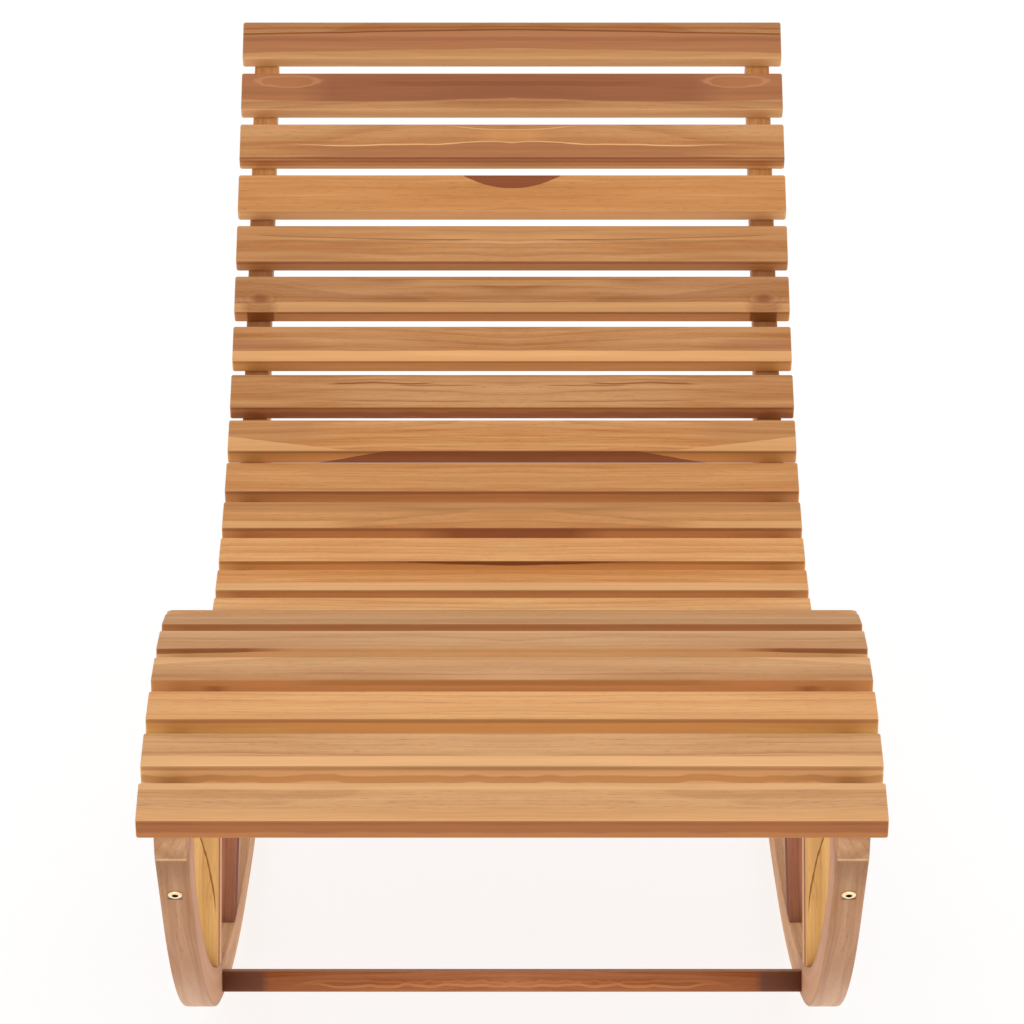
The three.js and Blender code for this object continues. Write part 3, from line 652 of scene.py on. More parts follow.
slat_knots = {25: [(273, -6, 6, 1.6)]}
slat_loops = {12: [(210, 4, 9, 4.0)], 29: [(246, 13, 7.5, 4.6)]}
slat_figures = {
    1: (FAWN, 0.7, [
        zone(16, 26, CREAM_BAND, 0.7, 1.5, waver=4), zone(-26, -12, WARM_BAND, 0.6, 4),
        front(DARK_EDGE), shadow_line(), rim(-2, 6, MARK_AND_SHADE, 0.5, soft=2, waver=10, wave=16)]),
    2: (FAWN, 0.9, [
        zone(-26, -10, CREAM_BAND, 0.9, 0.8, waver=3), front(PALE_EDGE), shadow_line(),
        rim(-6, -1, SOFT_MARK_AND_SHADE, 0.5, soft=2, waver=12, wave=26)]),
    3: (GOLD, 0.7, [
        zone(-26, -17, WARM_BAND, 0.5, 3, waver=4, start=0.1), front(WARM_EDGE), shadow_line(),
        rim(-8, -1, GOLD_MARK, 0.6, soft=2, waver=8, start=0.16)]),
    4: (FAWN, 0.9, [
        zone(50.6, 120, CREAM_BAND, 0.8, 0.8, rise=-0.14), front(MID_EDGE),
        rim(4, 12, SOFT_MARK_AND_SHADE, 0.6, waver=2, start=-1, end=0.19),
        rim(-6, 2, DEEP_MARK_AND_SHADE, 0.5, soft=2, start=0.232, end=0.262, ramp=80)]),
    5: (FAWN, 0.8, [
        zone(18, 28, CREAM_BAND, 0.6, 2), front(PALE_EDGE), shadow_line(0.18),
        rim(9.8, 14, MARK_AND_SHADE, 0.85, rise=-0.02, start=0.185, waver=2)]),
    6: (HONEY, 0.8, [front(DARK_EDGE), shadow_line(0.18)]),
    7: (HONEY, 0.9, [zone(-26, -6, RUSSET, 0.8), front(PALE_EDGE)]),
    8: (RUSSET, 1.1, [zone(8, 30, MID_BAND, 0.8, waver=6)]),
    9: (HONEY, 0.8, []),
    10: (TAN, 1.0, [zone(-4, -2, LINE, 0.5, 1, waver=8)]),
    11: (TAN, 1.1, [zone(-26, -8, MID_BAND, 0.8)]),
    12: (WHEAT, 0.8, []),
    13: (RUSSET, 1.1, [zone(10, 30, MID_BAND, 0.85, waver=5)]),
    14: (WHEAT, 0.9, []),
    15: (WHEAT, 0.8, [zone(-26, -12, RUSSET, 0.7, 3)]),
    16: (TAN, 1.0, []),
    17: (GOLD, 0.9, [front(CREST_EDGE), shadow_line()]),
    18: (AMBER, 0.9, [zone(-26, -8, CREAM_BAND, 0.85, 2, waver=4), front(MID_EDGE), shadow_line(0.18)]),
    19: (GOLD, 0.8, [
        front(WARM_EDGE), shadow_line(),
        rim(4, 14, DEEP_MARK_AND_SHADE, 0.9, 0.8, rise=0.03, waver=1, end=0.17, ramp=12)]),
    20: (WHEAT, 1.0, [
        zone(8, 26, TAN, 0.6, 6), zone(-26, -11, WARM_BAND, 0.9, waver=4, start=0.16),
        front(MID_EDGE), shadow_line(), rim(-14, 14, MARK_AND_SHADE, 0.8, waver=0, end=0.1)]),
    21: (WHEAT, 0.8, [front(MID_EDGE), shadow_line()]),
    22: (WHEAT, 1.0, [
        zone(-8, 16, RUSSET, 0.55, 5, waver=5, start=0.18),
        zone(-92, -52.4, WARM_BAND, 0.9, 0.5, rise=0.168, waver=2), front(WARM_EDGE), shadow_line(),
        rim(-80, 39.4, MARK_AND_SHADE, 0.9, 0.5, rise=-0.234, waver=1)]),
    23: (TAN, 1.1, [
        zone(10.6, 11.8, DARK_VEIN, 0.7, 0.9, waver=7, wave=22, start=0.08, end=0.2, ramp=60),
        zone(7.6, 8.4, DARK_VEIN, 0.5, 0.9, waver=6, wave=26, start=0.03, end=0.13, ramp=60),
        zone(-15, -14, BROWN_BAND, 0.6, 1.2, waver=5, start=0.02, end=0.2),
        front(DARK_EDGE), rim(-5, 1, MARK_AND_SHADE, 0.6, soft=2, waver=14, wave=16),
        rim(7, 14, DEEP_MARK_AND_SHADE, 0.5, waver=1)]),
    24: (TAN, 1.0, [
        zone(-5, 4, RED_BAND, 0.65, 3, waver=4, start=0.2), zone(-10.4, -8.6, RED_BAND, 0.6, 1, waver=3),
        zone(-26, -9.6, WARM_BAND, 0.95, 0.4, waver=3), front(WARM_EDGE),
        rim(6, 14, SOFT_MARK_AND_SHADE, 0.6, waver=1)]),
    25: (RUSSET, 1.0, [
        zone(13, 18, MID_BAND, 0.7, 2, waver=3, end=0.13), zone(-11.6, -10.2, BROWN_BAND, 0.5, 1, waver=3),
        zone(-26, -11, MID_BAND, 0.92, 0.4, waver=3, end=0.262, ramp=90),
        zone(-26, -12, MID_BAND, 0.9, 0.4, waver=3, start=0.284, ramp=90), front(MID_EDGE),
        rim(6, 14, MARK_AND_SHADE, 0.6, waver=1),
        rim(-14, 14, DEEP_MARK_AND_SHADE, 0.9, waver=0, start=0.256, end=0.287, ramp=500)]),
    26: (TAN, 1.1, [
        zone(4.1, 4.9, DARK_VEIN, 0.8, 0.8, bend=0.09, waver=2.4, wave=18, start=0.04, end=0.28, ramp=80),
        zone(6, 26, MID_BAND, 0.4, 3), zone(-24, -10, RUSSET, 0.5, 4, start=0.15),
        front(MID_EDGE), rim(5, 14, MARK_AND_SHADE, 0.6, soft=2, waver=1)]),
    27: (WHEAT, 0.7, [
        zone(6.3, 40, HEART_BAND, 0.96, 0.4, bend=5.85, waver=0.4, end=0.12, ramp=200), front(PALE_EDGE),
        zone(17, 19, RUSSET, 0.4, 1.5, waver=4, start=0.05)]),
    28: (TAN, 0.9, [
        zone(-26, -3, RED_BAND, 0.85, 0.6, waver=22, wave=7, end=0.27, ramp=12),
        zone(-3.6, -2.6, CREAM_BAND, 0.85, 0.5, waver=22, wave=7, end=0.25),
        zone(-23, -20.6, DARK_VEIN, 0.7, 1.2, waver=2), front(MID_EDGE),
        rim(5, 14, MARK_AND_SHADE, 0.6, waver=1), rim(-14, -3, PALE_EDGE, 0.85, soft=1.2, waver=3),
        zone(1, 14, WHEAT, 0.5, 2, end=0.04, ramp=50),
        zone(15.9, 16.7, CREAM_BAND, 0.7, bend=1.2, waver=1, end=0.075, ramp=60)]),
    29: (RUSSET, 0.8, [
        zone(-8, 36, BROWN_BAND, 0.93, 0.5, rise=-0.0583, bend=0.167),
        zone(-8, 36, RED_BAND, 0.85, 0.5, rise=-0.0583, bend=0.167, start=0.2),
        zone(8, 12, HEART_BAND, 0.5, 2, waver=8, end=0.16), front(PALE_EDGE)]),
    30: (RUSSET, 0.9, [
        zone(-10.5, 14.2, RED_BAND, 0.92, 0.6, rise=-0.02), zone(0, 4, BROWN_BAND, 0.5, 2, waver=6),
        zone(13.6, 14.9, DARK_VEIN, 0.75, 0.7, rise=-0.02, waver=2),
        zone(-26, -11, MID_BAND, 0.5, 1, rise=-0.02),
        zone(17.6, 18.2, HEART_BAND, 0.6, 0.7, rise=-0.008, waver=2), front(PALE_EDGE)]),
}

# %% The slats as rounded boards
def slat_board(number):
    """A slat lies just over the chord of the seat line between its two edges."""
    pitch = (seat_line.length - SLAT_WIDTH) / (SLAT_COUNT - 1)
    front_s = (number - 1) * pitch
    front_point, rear_point = seat_line([front_s, front_s + SLAT_WIDTH])[0]
    slope = math.atan2(rear_point[1] - front_point[1], rear_point[0] - front_point[0])
    middle = turned((front_point + rear_point) / 2, slope, 0.0, SLAT_LIFT + SLAT_THICKNESS / 2)
    outline = rounded_rectangle(SLAT_LENGTH, SLAT_WIDTH, SLAT_CORNER)
    return cross_board(f"slat_board_{number:02d}", outline, np.ones(len(outline)), SLAT_THICKNESS,
                       ARRIS, middle, slope)


rng = np.random.default_rng(7)
for number in range(1, SLAT_COUNT + 1):
    tone, figure, streaks = slat_figures[number]
    pith = (rng.uniform(-0.05, 0.05), rng.choice([-1, 1]) * rng.uniform(0.02, 0.07))
    wood = teak(f"slat teak {number:02d}", tone, figure, seed=number * 3.7, pith=pith,
                gap=rng.uniform(0.005, 0.012), taper=rng.uniform(-0.05, 0.05), mirrored=1.0,
                streaks=streaks, knots=slat_knots.get(number, ()), loops=slat_loops.get(number, ()))
    hang(slat_board(number), wood, "slats", f"slat_{number:02d}")
print("slats:", SLAT_COUNT)

# %% [markdown]
# ## Rails and rockers
#
# No plank is wide enough for the whole wave, so each rail and each rocker is glued up from three
# curved boards with half laps between them, sanded flush. They could be bent from a straight bar
# with a Curve modifier, but the laps would bend unevenly. Each board is a strip between its lower
# and upper edge lines, paired station by station, and in a lap one half of the depth stops early.

# %% A curved board as a strip between two edge lines
GAP = 0.00015
LAP = 0.06
STATION = 0.02


def strip_rows(start, end, lower, upper):
    """Stations (s low, offset low, s high, offset high) of a strip. start and end are (where the
    upper half ends, where the lower half ends, whether it is lapped); in a lap the upper or the
    lower edge moves to the middle of the depth, w = (w0 + w1) / 2."""
    middle = (lower + upper) / 2
    (upper_from, lower_from, lapped_from), (upper_to, lower_to, lapped_to) = start, end
    rows = []
    if lapped_from:
        inside = (upper_from, upper_from + SUPPORT, lower_from - SUPPORT)
        rows += [(s, middle + GAP, s, upper) for s in inside]
        rows += [(lower_from, lower, lower_from + GAP, upper)]
    else:
        rows += [(lower_from, lower, upper_from, upper)]
    begin, finish = max(upper_from, lower_from) + SUPPORT, min(upper_to, lower_to) - SUPPORT
    stations = np.linspace(begin, finish, max(2, int((finish - begin) / STATION)))
    rows += [(s, lower, s, upper) for s in stations]
    if lapped_to:
        rows += [(upper_to - GAP, lower, upper_to, upper)]
        rows += [(s, lower, s, middle - GAP) for s in (upper_to + SUPPORT, lower_to - SUPPORT, lower_to)]
    else:
        rows += [(lower_to, lower, upper_to, upper)]
    return np.array(rows)


def strip_board(name, line, start, end, lower, upper, x_side, head=None, tail=None):
    """A strip board, with one four-sided panel between two stations. head and tail are points
    (y, z) that close the board beyond its first and last station, and whether each side from there
    is eased. Each has one panel of its own; there the line is straight, so (along, across) is found
    by turning into its direction."""
    rows = strip_rows(start, end, lower, upper)
    low_s, low_w, high_s, high_w = rows.T
    middle = (lower + upper) / 2
    tail_points, tail_eased = tail or (np.zeros((0, 2)), [not end[2]])
    head_points, head_eased = head or (np.zeros((0, 2)), [not start[2]])

    def edge(s, w, outer):
        return beside(line, s, w), np.column_stack([s, w - middle]), line(s)[1], w == outer

    def extra(points, s):
        base, h = line(s)
        along, across = axes(h)
        wood = np.column_stack([s + (points - base) @ along, (points - base) @ across - middle])
        return points, wood, np.full(len(points), float(h)), np.zeros(len(points), bool)

    pieces = (edge(low_s, low_w, lower), extra(tail_points, low_s[-1]),
              edge(high_s[::-1], high_w[::-1], upper), extra(head_points, low_s[0]))
    outline, grain, heading, outer = (np.concatenate(column) for column in zip(*pieces))
    last = len(rows) - 1
    high = len(rows) + len(tail_points) + last
    eased = outer & np.roll(outer, -1)
    eased[last: high - last] = tail_eased
    eased[high:] = head_eased
    panels = [(i, i + 1, high - i - 1, high - i) for i in range(last)]
    if tail:
        panels.append(tuple(range(last, high - last + 1)))
    if head:
        panels.append((0, *range(high, len(outline))))
    return side_board(name, outline, grain, heading, eased, panels, ARRIS, x_side)


def joints(start, end, shares, slant=0.0):
    """The ends of the three boards of a member: (upper half, lower half, lapped)."""
    cuts = [(start, start, False)]
    for share in shares:
        s = start + (end - start) * share
        cuts.append((s - LAP / 2, s + LAP / 2, True))
    cuts.append((end, end - slant, False))
    return list(zip(cuts[:-1], cuts[1:]))


# %% The wood of the rails and the rockers
def patch(start, end, paint, strength=0.8, ramp=25.0, half_width=0.2, **more):
    """A streak between two distances along a board, which covers its whole width if left so."""
    return streak(paint, strength, start=start, end=end, ramp=ramp, half_width=half_width, **more)


def painted_side_shading(paint, strength, middle, half_width, soft=0.01):
    """A tone painted on one side of a board in place of its light and shade: paler stands in for
    light, darker for shade. With a lean of 100 the place across the board hardly counts, and the
    streak's middle is a depth in units of 10 mm."""
    return streak(paint, strength, middle=middle, half_width=half_width, soft=soft, lean=100.0, waver=0.0)


def painted_inner_side_shading(paint, strength=0.85):
    """A tone painted on the side of a board that faces the middle of the lounger, in place of the
    light and shade that fall there.
    """
    return painted_side_shading(paint, strength, 1.34, 0.05)


# The middle tone, the seed, the pith, the gap of the rings, and the streaks.
frame_woods = {
    "calf_rail": ((184, 142, 106), 50.0, (0.02, -0.05), 0.006, [
        patch(-0.1, 0.03, (150, 104, 68), 0.6, 40.0, 0.002, middle=-0.01, waver=0.03, wave=34.0, lean=0.5,
              soft=0.01),
        # Painted light: the inner side is painted paler.
        painted_inner_side_shading((205, 159, 114)),
        # A painted highlight: the pale line along the lower edge of the rail's front end, where it meets the
        # rocker.
        patch(-0.1, 0.036, (226, 176, 134), 0.8, 300.0, 0.0009, middle=-0.0161, waver=0.0, soft=0.0006)]),
    "seat_rail": ((196, 142, 98), 58.0, (-0.03, -0.06), 0.007, []),
    "back_rail": ((212, 155, 98), 63.0, (0.01, -0.07), 0.006, [
        patch(1.0, 1.815, (158, 106, 70), 0.8, 20.0)]),
    "front_rocker": ((170, 129, 99), 71.0, (0.03, -0.06), 0.007, [
        # Painted light: the inner side is painted paler.
        patch(0.2, 2.0, (196, 164, 138), 0.75, 5.0), painted_inner_side_shading((206, 164, 132)),
        # A painted highlight: the pale line at the very front tip, along the arris where the leg meets the
        # rail.
        patch(-0.1, 0.0035, (206, 156, 114), 0.5, 600.0), patch(-0.1, 0.05, (150, 108, 80), 0.45, 40.0),
        # A painted shadow: the dark patch on the leg just below each front bolt head.
        patch(0.063, 0.0715, (58, 30, 14), 0.9, 500.0, 0.0032, middle=-0.0165, lean=1.0, waver=0.0,
              soft=0.004)]),
    "middle_rocker": ((222, 184, 143), 77.0, (-0.01, -0.05), 0.007, []),
    "rear_rocker": ((222, 180, 138), 84.0, (0.02, -0.04), 0.008, []),
}
frame_teak = {
    title: teak(f"{title.replace('_', ' ')} teak", tone, 0.9, seed, pith, gap, 0.02, streaks=streaks)
    for title, (tone, seed, pith, gap, streaks) in frame_woods.items()}

# %% The two rails, whose top stays just under the flat slats where it is humped
RAIL_TOP = -0.0007
RAIL_LAPS = (0.34, 0.67)
rail_ends = joints(RAIL_INSET, seat_line.length - RAIL_INSET, RAIL_LAPS, RAIL_SLANT)
for side, x_side in SIDES:
    for title, (start, end) in zip(("calf_rail", "seat_rail", "back_rail"), rail_ends):
        board = strip_board(f"{title}_board_{side}", seat_line, start, end, -DEPTH, RAIL_TOP, x_side)
        hang(board, frame_teak[title], "frame", f"{title}_{side}")
print("rail boards: 6, lapped at", [round(start[0] + LAP / 2, 3) for start, end in rail_ends[1:]])

# %% [markdown]
# The rockers end under the rails. Their ends are cut to the underside of the rail, and the front
# leg widens into it with a round fillet of 72 mm, sawn from the same wide board. A Boolean with the
# rail would give the cut, but it leaves untidy edges to soften, so the meeting points are worked
# out instead: the rail's underside is sampled, turned into the straight leg's own directions, and
# read off where it crosses the leg's top line.

# %% Where a straight piece meets a curved edge
FIT = 0.0003
UNDER_RAIL = -DEPTH - FIT
SEARCH = 0.12


def meets(line, offset, origin, angle, across, near):
    """How far along a direction from the origin a curved edge is met, for each distance across.
    The edge is sampled near a distance, turned by the angle, and interpolated: a point P has
    p = (P - O) . (cos, sin) and q = (P - O) . (-sin, cos)."""
    points = beside(line, np.linspace(near - SEARCH, near + SEARCH, 800), offset) - origin
    p, q = (points @ axis for axis in axes(angle))
    order = np.argsort(q)
    return np.interp(across, q[order], p[order])


def distances(a, b):
    """The distance from every point of one row to every point of another."""
    return np.linalg.norm(a[:, None] - b[None], axis=2)


# %% Where the front leg meets the rail
FILLET, FILLET_POINTS = 0.072, 25
OVERRUN, LEG_OVERLAP = 0.12, 0.002
THINNEST = 0.0004
TIP_NEAR = 0.03
EDGE_FROM, EDGE_TO, EDGE_POINTS = 0.004, RAIL_INSET + 0.003, 14

leg_along, leg_across = axes(-FRONT_SLOPE)
samples = np.linspace(0.0, 0.3, 1500)
height_over_leg = (beside(seat_line, samples, -DEPTH) - front_corner) @ leg_across
inner_s = float(np.interp(DEPTH, height_over_leg, samples))
inner, rail_angle = beside(seat_line, inner_s, -DEPTH), float(seat_line(inner_s)[1])
opening = rail_angle + FRONT_SLOPE
centre = turned(inner, (rail_angle - FRONT_SLOPE) / 2, FILLET / math.sin(opening / 2), 0.0)
sweep = np.linspace(-math.pi / 2 - FRONT_SLOPE, rail_angle - 1.5 * math.pi, FILLET_POINTS)
fillet = centre + FILLET * np.stack([np.cos(sweep), np.sin(sweep)], -1)
nearest = samples[np.argmin(distances(fillet, beside(seat_line, samples, UNDER_RAIL)), axis=1)]
upward = beside(seat_line, nearest, 1.0) - beside(seat_line, nearest, 0.0)
clear = np.sum((beside(seat_line, nearest, UNDER_RAIL) - fillet) * upward, axis=1) > THINNEST
fillet = fillet[clear]
edge_s = np.linspace(float(nearest[clear][-1]) + EDGE_FROM, EDGE_TO, EDGE_POINTS)
rail_edge = beside(seat_line, edge_s, UNDER_RAIL)
tip = meets(seat_line, UNDER_RAIL, front_corner, -FRONT_SLOPE, 0.0, TIP_NEAR)
front_tip = turned(front_corner, -FRONT_SLOPE, tip, 0.0)
head_points = np.concatenate([fillet, rail_edge, front_tip[None]])
head_eased = np.array([True] * len(fillet) + [False] * (len(rail_edge) + 1) + [True])
fillet_end = float((fillet[0] - front_corner) @ leg_along)
print("the fillet ends %.4f m down the leg, which is straight for %.4f m" % (fillet_end, front_leg))

# %% The six rocker boards
ROCKER_LAPS = (0.36, 0.66)
TAIL_POINTS = 5
tail_q = np.linspace(0.0, DEPTH, TAIL_POINTS)
rear_cut = meets(seat_line, UNDER_RAIL, rear_corner, REAR_SLOPE, tail_q, REAR_JOINT)
tail_points = turned(rear_corner, REAR_SLOPE, rear_cut, tail_q)
tail_eased = np.array([True] + [False] * (TAIL_POINTS - 1) + [True])
ends = joints(-OVERRUN, rocker_line.length + OVERRUN, ROCKER_LAPS)
leg_start = (fillet_end + LEG_OVERLAP, fillet_end + LEG_OVERLAP, False)
leg_finish = (rocker_line.length + rear_cut[-1] - LEG_OVERLAP,) * 2 + (False,)
plan = {
    "front_rocker": (leg_start, ends[0][1], (head_points, head_eased), None),
    "middle_rocker": (*ends[1], None, None),
    "rear_rocker": (ends[2][0], leg_finish, None, (tail_points, tail_eased)),
}
for side, x_side in SIDES:
    for title, (start, end, head, tail) in plan.items():
        board = strip_board(f"{title}_board_{side}", rocker_line, start, end, 0.0, DEPTH, x_side, head, tail)
        hang(board, frame_teak[title], "frame", f"{title}_{side}")
print("rocker boards: 6, lapped at", [round(start[0] + LAP / 2, 3) for start, end in ends[1:]])

# %% [markdown]
# ## Posts, struts and crossbars
#
# On each side two posts and one long leaning strut stand between the rocker and the rail. Their
# ends follow the two curves. A plain beam pushed into the curves would be quicker, but from below
# its corners would stick out, so each end is read off the curve that it meets. The two crossbars
# are flat bars between the inner faces of the rockers.

# %% A post between the rocker and the rail
SHORTEST_POST, LONGEST_POST, POST_STATIONS = 0.1, 0.6, 9


def rocker_place(at, level):
    """The place on the rocker whose point at a level over its outer edge is this far from the foot end."""
    s = np.linspace(0.05, rocker_line.length - 0.05, 4000)
    return float(np.interp(FOOT[0] + at, beside(rocker_line, s, level)[:, 0], s))


def post_board(name, foot_at, lean, width, x_side):
    """A post whose axis leans by an angle a from upright: it starts on the rocker's top at the
    distance foot_at from the foot end and runs along (sin a, cos a). At each distance q across the
    post, its ends lie where the rocker's top and the rail's underside cross that line."""
    foot_s = rocker_place(foot_at, DEPTH)
    foot = beside(rocker_line, foot_s, DEPTH)
    angle = math.pi / 2 - lean
    axis_points = turned(foot, angle, np.linspace(SHORTEST_POST, LONGEST_POST, 500), 0.0)
    seat_s = np.linspace(0.0, seat_line.length, 3000)
    away = distances(beside(seat_line, seat_s, -DEPTH), axis_points)
    head_s = float(seat_s[np.argmin(np.min(away, axis=1))])
    q = np.linspace(width / 2, -width / 2, POST_STATIONS)
    low = meets(rocker_line, DEPTH + FIT, foot, angle, q, foot_s)
    high = meets(seat_line, UNDER_RAIL, foot, angle, q[::-1], head_s)
    grain = np.concatenate([np.column_stack([low, q]), np.column_stack([high, q[::-1]])])
    outline = turned(foot, angle, grain[:, 0], grain[:, 1])
    eased = np.zeros(len(outline))
    eased[[len(q) - 1, -1]] = 1.0
    return side_board(name, outline, grain, angle, eased, [tuple(range(len(outline)))], SMALL_ARRIS, x_side)


POST_WIDTH, STRUT_WIDTH = 0.048, 0.034
FRONT_POST, SEAT_STRUT, REAR_POST = 0.446, 0.708, 1.243
POST_LEAN, STRUT_LEAN = math.radians(19), math.radians(44)
crack = dict(rise=0.1434, bend=-2.17, waver=0.0008, lean=1.0, ramp=70.0, start=0.045)
ochre = teak("post teak", (226, 180, 116), 0.7, 91.0, (0.03, -0.03), 0.009, 0.03, streaks=[
    patch(-0.1, 0.06, (246, 194, 122), 0.7, 15.0),
    streak((208, 162, 104), 0.6, middle=0.0395, half_width=0.0075, soft=0.0006, end=0.3, **crack),
    streak((136, 84, 38), 0.9, middle=0.032, half_width=0.0003, soft=0.0008, end=0.14, **crack),
    # The post's inner side is painted paler as light, and a dark line of painted shade runs along its front
    # arris.
    painted_inner_side_shading((232, 184, 146)), painted_side_shading((128, 74, 36), 0.95, 1.33, 0.02, 0.004)])
heart = teak("strut teak", (170, 117, 91), 1.2, 97.0, (0.0, -0.04), 0.007, 0.02,
             # Painted shade: the strut's inner side is painted dark.
             streaks=[painted_inner_side_shading((104, 30, 10), 0.95)])
posts = {"front_post": (FRONT_POST, POST_LEAN, POST_WIDTH, ochre, "posts"),
         "seat_strut": (SEAT_STRUT, STRUT_LEAN, STRUT_WIDTH, heart, "dark_wood"),
         "rear_post": (REAR_POST, -POST_LEAN, POST_WIDTH, ochre, "posts")}
for side, x_side in SIDES:
    for title, (foot_at, lean, width, wood, slot) in posts.items():
        hang(post_board(f"{title}_board_{side}", foot_at, lean, width, x_side), wood, slot, f"{title}_{side}")

# %% The two crossbars
BAR_LEVEL, BAR_HEIGHT, BAR_WIDTH = 0.015, 0.019, 0.016


def crossbar_board(name, at):
    """A bar 19 mm high and 16 mm wide along the rocker, with its middle 15 mm inside the rocker's
    outer edge. Its ends touch the rockers, so only the long edges are eased."""
    middle_s = rocker_place(at, BAR_LEVEL)
    middle, slope = beside(rocker_line, middle_s, BAR_LEVEL), float(rocker_line(middle_s)[1])
    half_length, half_width = SIDE_X - THICKNESS / 2 - FIT, BAR_WIDTH / 2
    outline = np.array([(half_length, -half_width), (half_length, half_width),
                        (-half_length, half_width), (-half_length, -half_width)])
    return cross_board(name, outline, [0, 1, 0, 1], BAR_HEIGHT, SMALL_ARRIS, middle, slope)


vein = dict(soft=0.001, lean=1.0)
bar_teak = teak("crossbar teak", (165, 106, 71), 1.2, 104.0, (0.01, -0.05), 0.006, 0.02, 1.0, streaks=[
    streak((206, 140, 92), 0.6, middle=-0.012, half_width=0.0006, waver=0.012, wave=30.0, end=0.2, **vein),
    streak((196, 132, 86), 0.4, middle=-0.008, half_width=0.0004, waver=0.014, wave=44.0, end=0.21, **vein),
    patch(0.218, 0.4, (120, 84, 70), 0.95, 120.0),
    # A painted highlight along the top of the bar and painted shade along its bottom.
    painted_side_shading((196, 160, 132), 0.5, 0.96, 0.06), painted_side_shading((78, 46, 34), 0.7, -0.96, 0.06)])
crossbars = {"front_crossbar": 0.484, "rear_crossbar": 1.322}
for title, at in crossbars.items():
    hang(crossbar_board(f"{title}_board", at), bar_teak, "dark_wood", title)
print("posts and struts: 6, crossbars: 2")

# %% [markdown]
# ## Bolts and barrel nuts
#
# A brass bolt with a flat head and a hexagonal socket goes through each end of a rocker into a
# barrel nut that lies across the rail. They are turned parts, which Blender could spin from a
# profile, but the socket isn't round. Here each ring of the part is a mix of a circle and the
# socket's own shape, so the ring can pass from one to the other.

# %% A turned part with a shaped socket, in millimetres
TURN_STEPS = 48


def turned_part(name, rows, socket, origin, axis):
    """Rings round an axis through the origin. A row (radius r, height h, share m) gives the point
    at the angle t: h along the axis and (1 - m) r + m socket(t) away from it. The first and the
    last ring are closed with flat faces."""
    t = np.linspace(0, 2 * math.pi, TURN_STEPS, endpoint=False)
    radius, height, share = (column[:, None] for column in np.array(rows, float).T)
    share = np.repeat(share, TURN_STEPS, axis=1)
    reach = ((1 - share) * radius + share * socket(t)) / 1e3
    u = np.cross([0.0, 0.6, 0.8], axis)
    u /= np.linalg.norm(u)
    v = np.cross(axis, u)
    points = (np.asarray(origin) + (reach * np.cos(t))[..., None] * u + (reach * np.sin(t))[..., None] * v
              + height[..., None] / 1e3 * np.asarray(axis)).reshape(-1, 3)
    last = (len(rows) - 1) * TURN_STEPS
    faces = ring_walls(len(rows), TURN_STEPS)
    faces += [list(range(TURN_STEPS))[::-1], list(range(last, last + TURN_STEPS))]
    return add_mesh(name, points, faces, len(faces), recess=share.ravel())


def hexagon(t):
    """The radius of a hexagon 4.5 mm across its flats: 2.25 mm / cos of the angle from a flat."""
    return 2.25 / np.cos((t + math.pi / 6) % (math.pi / 3) - math.pi / 6)


def slot_shape(t):
    """The radius of a slot 8 by 1.2 mm: the nearer of 4 mm / |cos t| and 0.6 mm / |sin t|."""
    return np.minimum(4 / np.maximum(np.abs(np.cos(t)), 1e-6), 0.6 / np.maximum(np.abs(np.sin(t)), 1e-6))


# %% Brass, with fine scratches and a little tarnish, from noise in Object coordinates
BRASS, TARNISH, SOCKET_SHADE = (250, 224, 182), (176, 142, 92), (52, 36, 22)

brass, tree, shader = new_material("brass")
spot = put(tree, "ShaderNodeTexCoord")["Object"]
tarnish = noise(spot, 260.0, 3.0)["Fac"].remap(0.4, 0.8, 0.0, 0.4)
scratch = noise(spot, 2400.0, 2.0)["Fac"]
# The socket of each bolt and the slot of each nut are painted dark as shade.
inside = attribute(tree, "recess")["Fac"].remap(0.3, 0.9)
fill(shader.inputs, {
    "Base Color": blend(inside, blend(tarnish, colour(BRASS), colour(TARNISH)), colour(SOCKET_SHADE)),
    "Roughness": scratch.remap(0.3, 0.7, 0.34, 0.52), "Normal": bump(scratch, 0.15, 0.0001), "Metallic": 1.0})

# %% Bolts and nuts in their places
HEAD_ROWS = [(3, -0.4, 0), (3.2, 0.02, 0), (5.6, 0.02, 0), (5.8, 0.2, 0), (5.8, 1.2, 0), (5.6, 1.7, 0),
             (5.1, 1.95, 0), (4.3, 2, 0), (3, 2, 0.6), (2.6, 1.95, 1), (2.6, 1.8, 1), (2.6, 0.65, 1),
             (2.3, 0.6, 1)]
NUT_TIP = THICKNESS * 500 + 0.15
NUT_ROWS = [(4.6, -9, 0), (5, -8.6, 0), (5, NUT_TIP - 0.3, 0), (4.8, NUT_TIP - 0.05, 0), (4.6, NUT_TIP, 0),
            (4.3, NUT_TIP, 0.4), (0, NUT_TIP, 1), (0, NUT_TIP - 0.1, 1), (0, NUT_TIP - 0.9, 1)]
PAST_NUT = 7
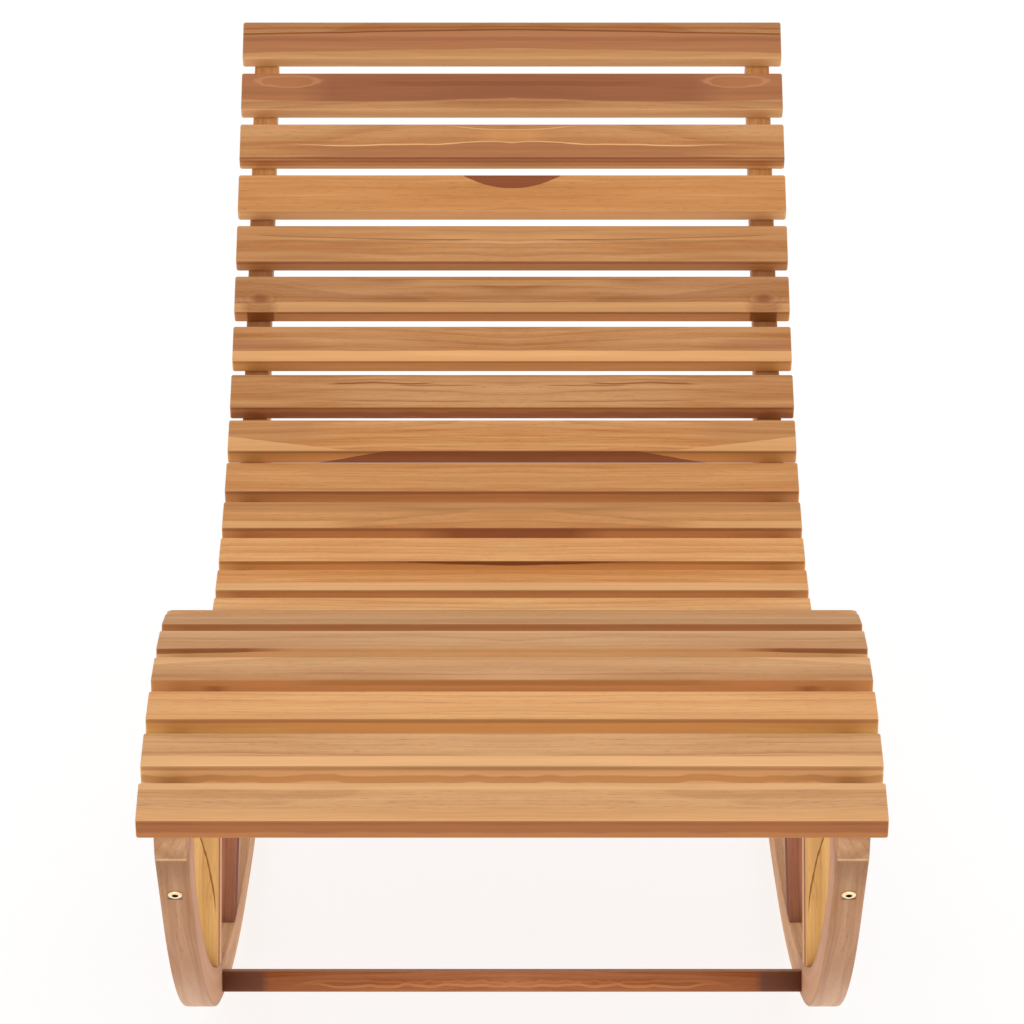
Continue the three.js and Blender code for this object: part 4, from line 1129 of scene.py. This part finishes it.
# Where each bolt sits along the rocker, and where its nut is looked for along the rail.
bolt_places = {"front": (0.060, 0.06), "rear": (rocker_line.length - 0.042, REAR_JOINT)}
for place_name, (bolt_s, near_s) in bolt_places.items():
    seat_point, slope = rocker_line(bolt_s)
    inward = float(slope) + math.pi / 2
    reach = float(meets(seat_line, -DEPTH / 2, seat_point, inward, 0.0, near_s))
    shaft = -(reach * 1e3 + PAST_NUT)
    bolt_rows = [(2.5, shaft, 0), (3, shaft + 0.5, 0), *HEAD_ROWS]
    nut_centre = turned(seat_point, inward, reach, 0.0)
    outward = (0.0, -math.cos(inward), -math.sin(inward))
    for side, x_side in SIDES:
        bolt = turned_part(f"{place_name}_bolt_head_{side}", bolt_rows, hexagon, (x_side, *seat_point),
                           outward)
        hang(bolt, brass, "brass", f"{place_name}_bolt_{side}")
        nut = turned_part(f"{place_name}_barrel_nut_{side}", NUT_ROWS, slot_shape, (x_side, *nut_centre),
                          (-math.copysign(1.0, x_side), 0.0, 0.0))
        hang(nut, brass, "brass", f"{place_name}_nut_{side}")
    print("%s bolt at y %.4f z %.4f, %.1f mm long" % (place_name, *seat_point, -shaft))

# %% [markdown]
# ## Camera, floor and light
#
# The photograph looks along the lounger from the foot end, with a long lens, on a pure white
# ground. The floor is a plain white sheet lit like the lounger, and only what the camera sees of
# the world behind it is white.

# %% Camera
CAMERA_PLACE, CAMERA_TILT, LENS, SENSOR = (0.0, -4.81023, 1.60896), 75.787, 180.72, 36.0

camera_data = bpy.data.cameras.new("camera")
camera = bpy.data.objects.new("camera", camera_data)
bpy.context.scene.collection.objects.link(camera)
camera.location = CAMERA_PLACE
camera.rotation_euler = (math.radians(CAMERA_TILT), 0.0, 0.0)
camera_data.sensor_width = SENSOR
camera_data.lens = LENS
camera_data.clip_end = 100.0
bpy.context.scene.camera = camera

# %% Light
WHITE = (1.0, 1.0, 1.0, 1.0)

world = bpy.data.worlds.new("studio")
bpy.context.scene.world = world
world.use_nodes = True
ray = put(world.node_tree, "ShaderNodeLightPath")
seen = ray["Is Camera Ray"] + ray["Is Glossy Ray"] + ray["Is Transmission Ray"]
fill(world.node_tree.nodes["Background"].inputs, {"Color": WHITE, "Strength": seen.between(0.62, 1.0)})

for name, energy, spread, tilt in (("high softbox", 0.4, 60, 30), ("low softbox", 1.0, 60, 78)):
    lamp_data = bpy.data.lights.new(name, "SUN")
    lamp_data.energy, lamp_data.angle = energy, math.radians(spread)
    lamp = bpy.data.objects.new(name, lamp_data)
    lamp.rotation_euler = (math.radians(tilt), 0.0, 0.0)
    bpy.context.scene.collection.objects.link(lamp)

# %% Floor
FLOOR_HALF, FLOOR_NEAR, FLOOR_FAR, FLOOR_LEVEL = 30.0, -12.0, 60.0, -0.0005

corners = [(-FLOOR_HALF, FLOOR_NEAR), (FLOOR_HALF, FLOOR_NEAR),
           (FLOOR_HALF, FLOOR_FAR), (-FLOOR_HALF, FLOOR_FAR)]
floor = add_mesh("floor", np.array([(x, y, FLOOR_LEVEL) for x, y in corners]), [(0, 1, 2, 3)], 0)
white, tree, shader = new_material("white ground")
seen = put(tree, "ShaderNodeLightPath")["Is Camera Ray"]
fill(shader.inputs, {
    "Roughness": 0.9, "Base Color": blend(seen, (0.9, 0.9, 0.9, 1.0), (0.2, 0.2, 0.2, 1.0)),
    "Emission Color": WHITE, "Emission Strength": seen.between(0.5, 0.82)})
floor.data.materials.append(white)
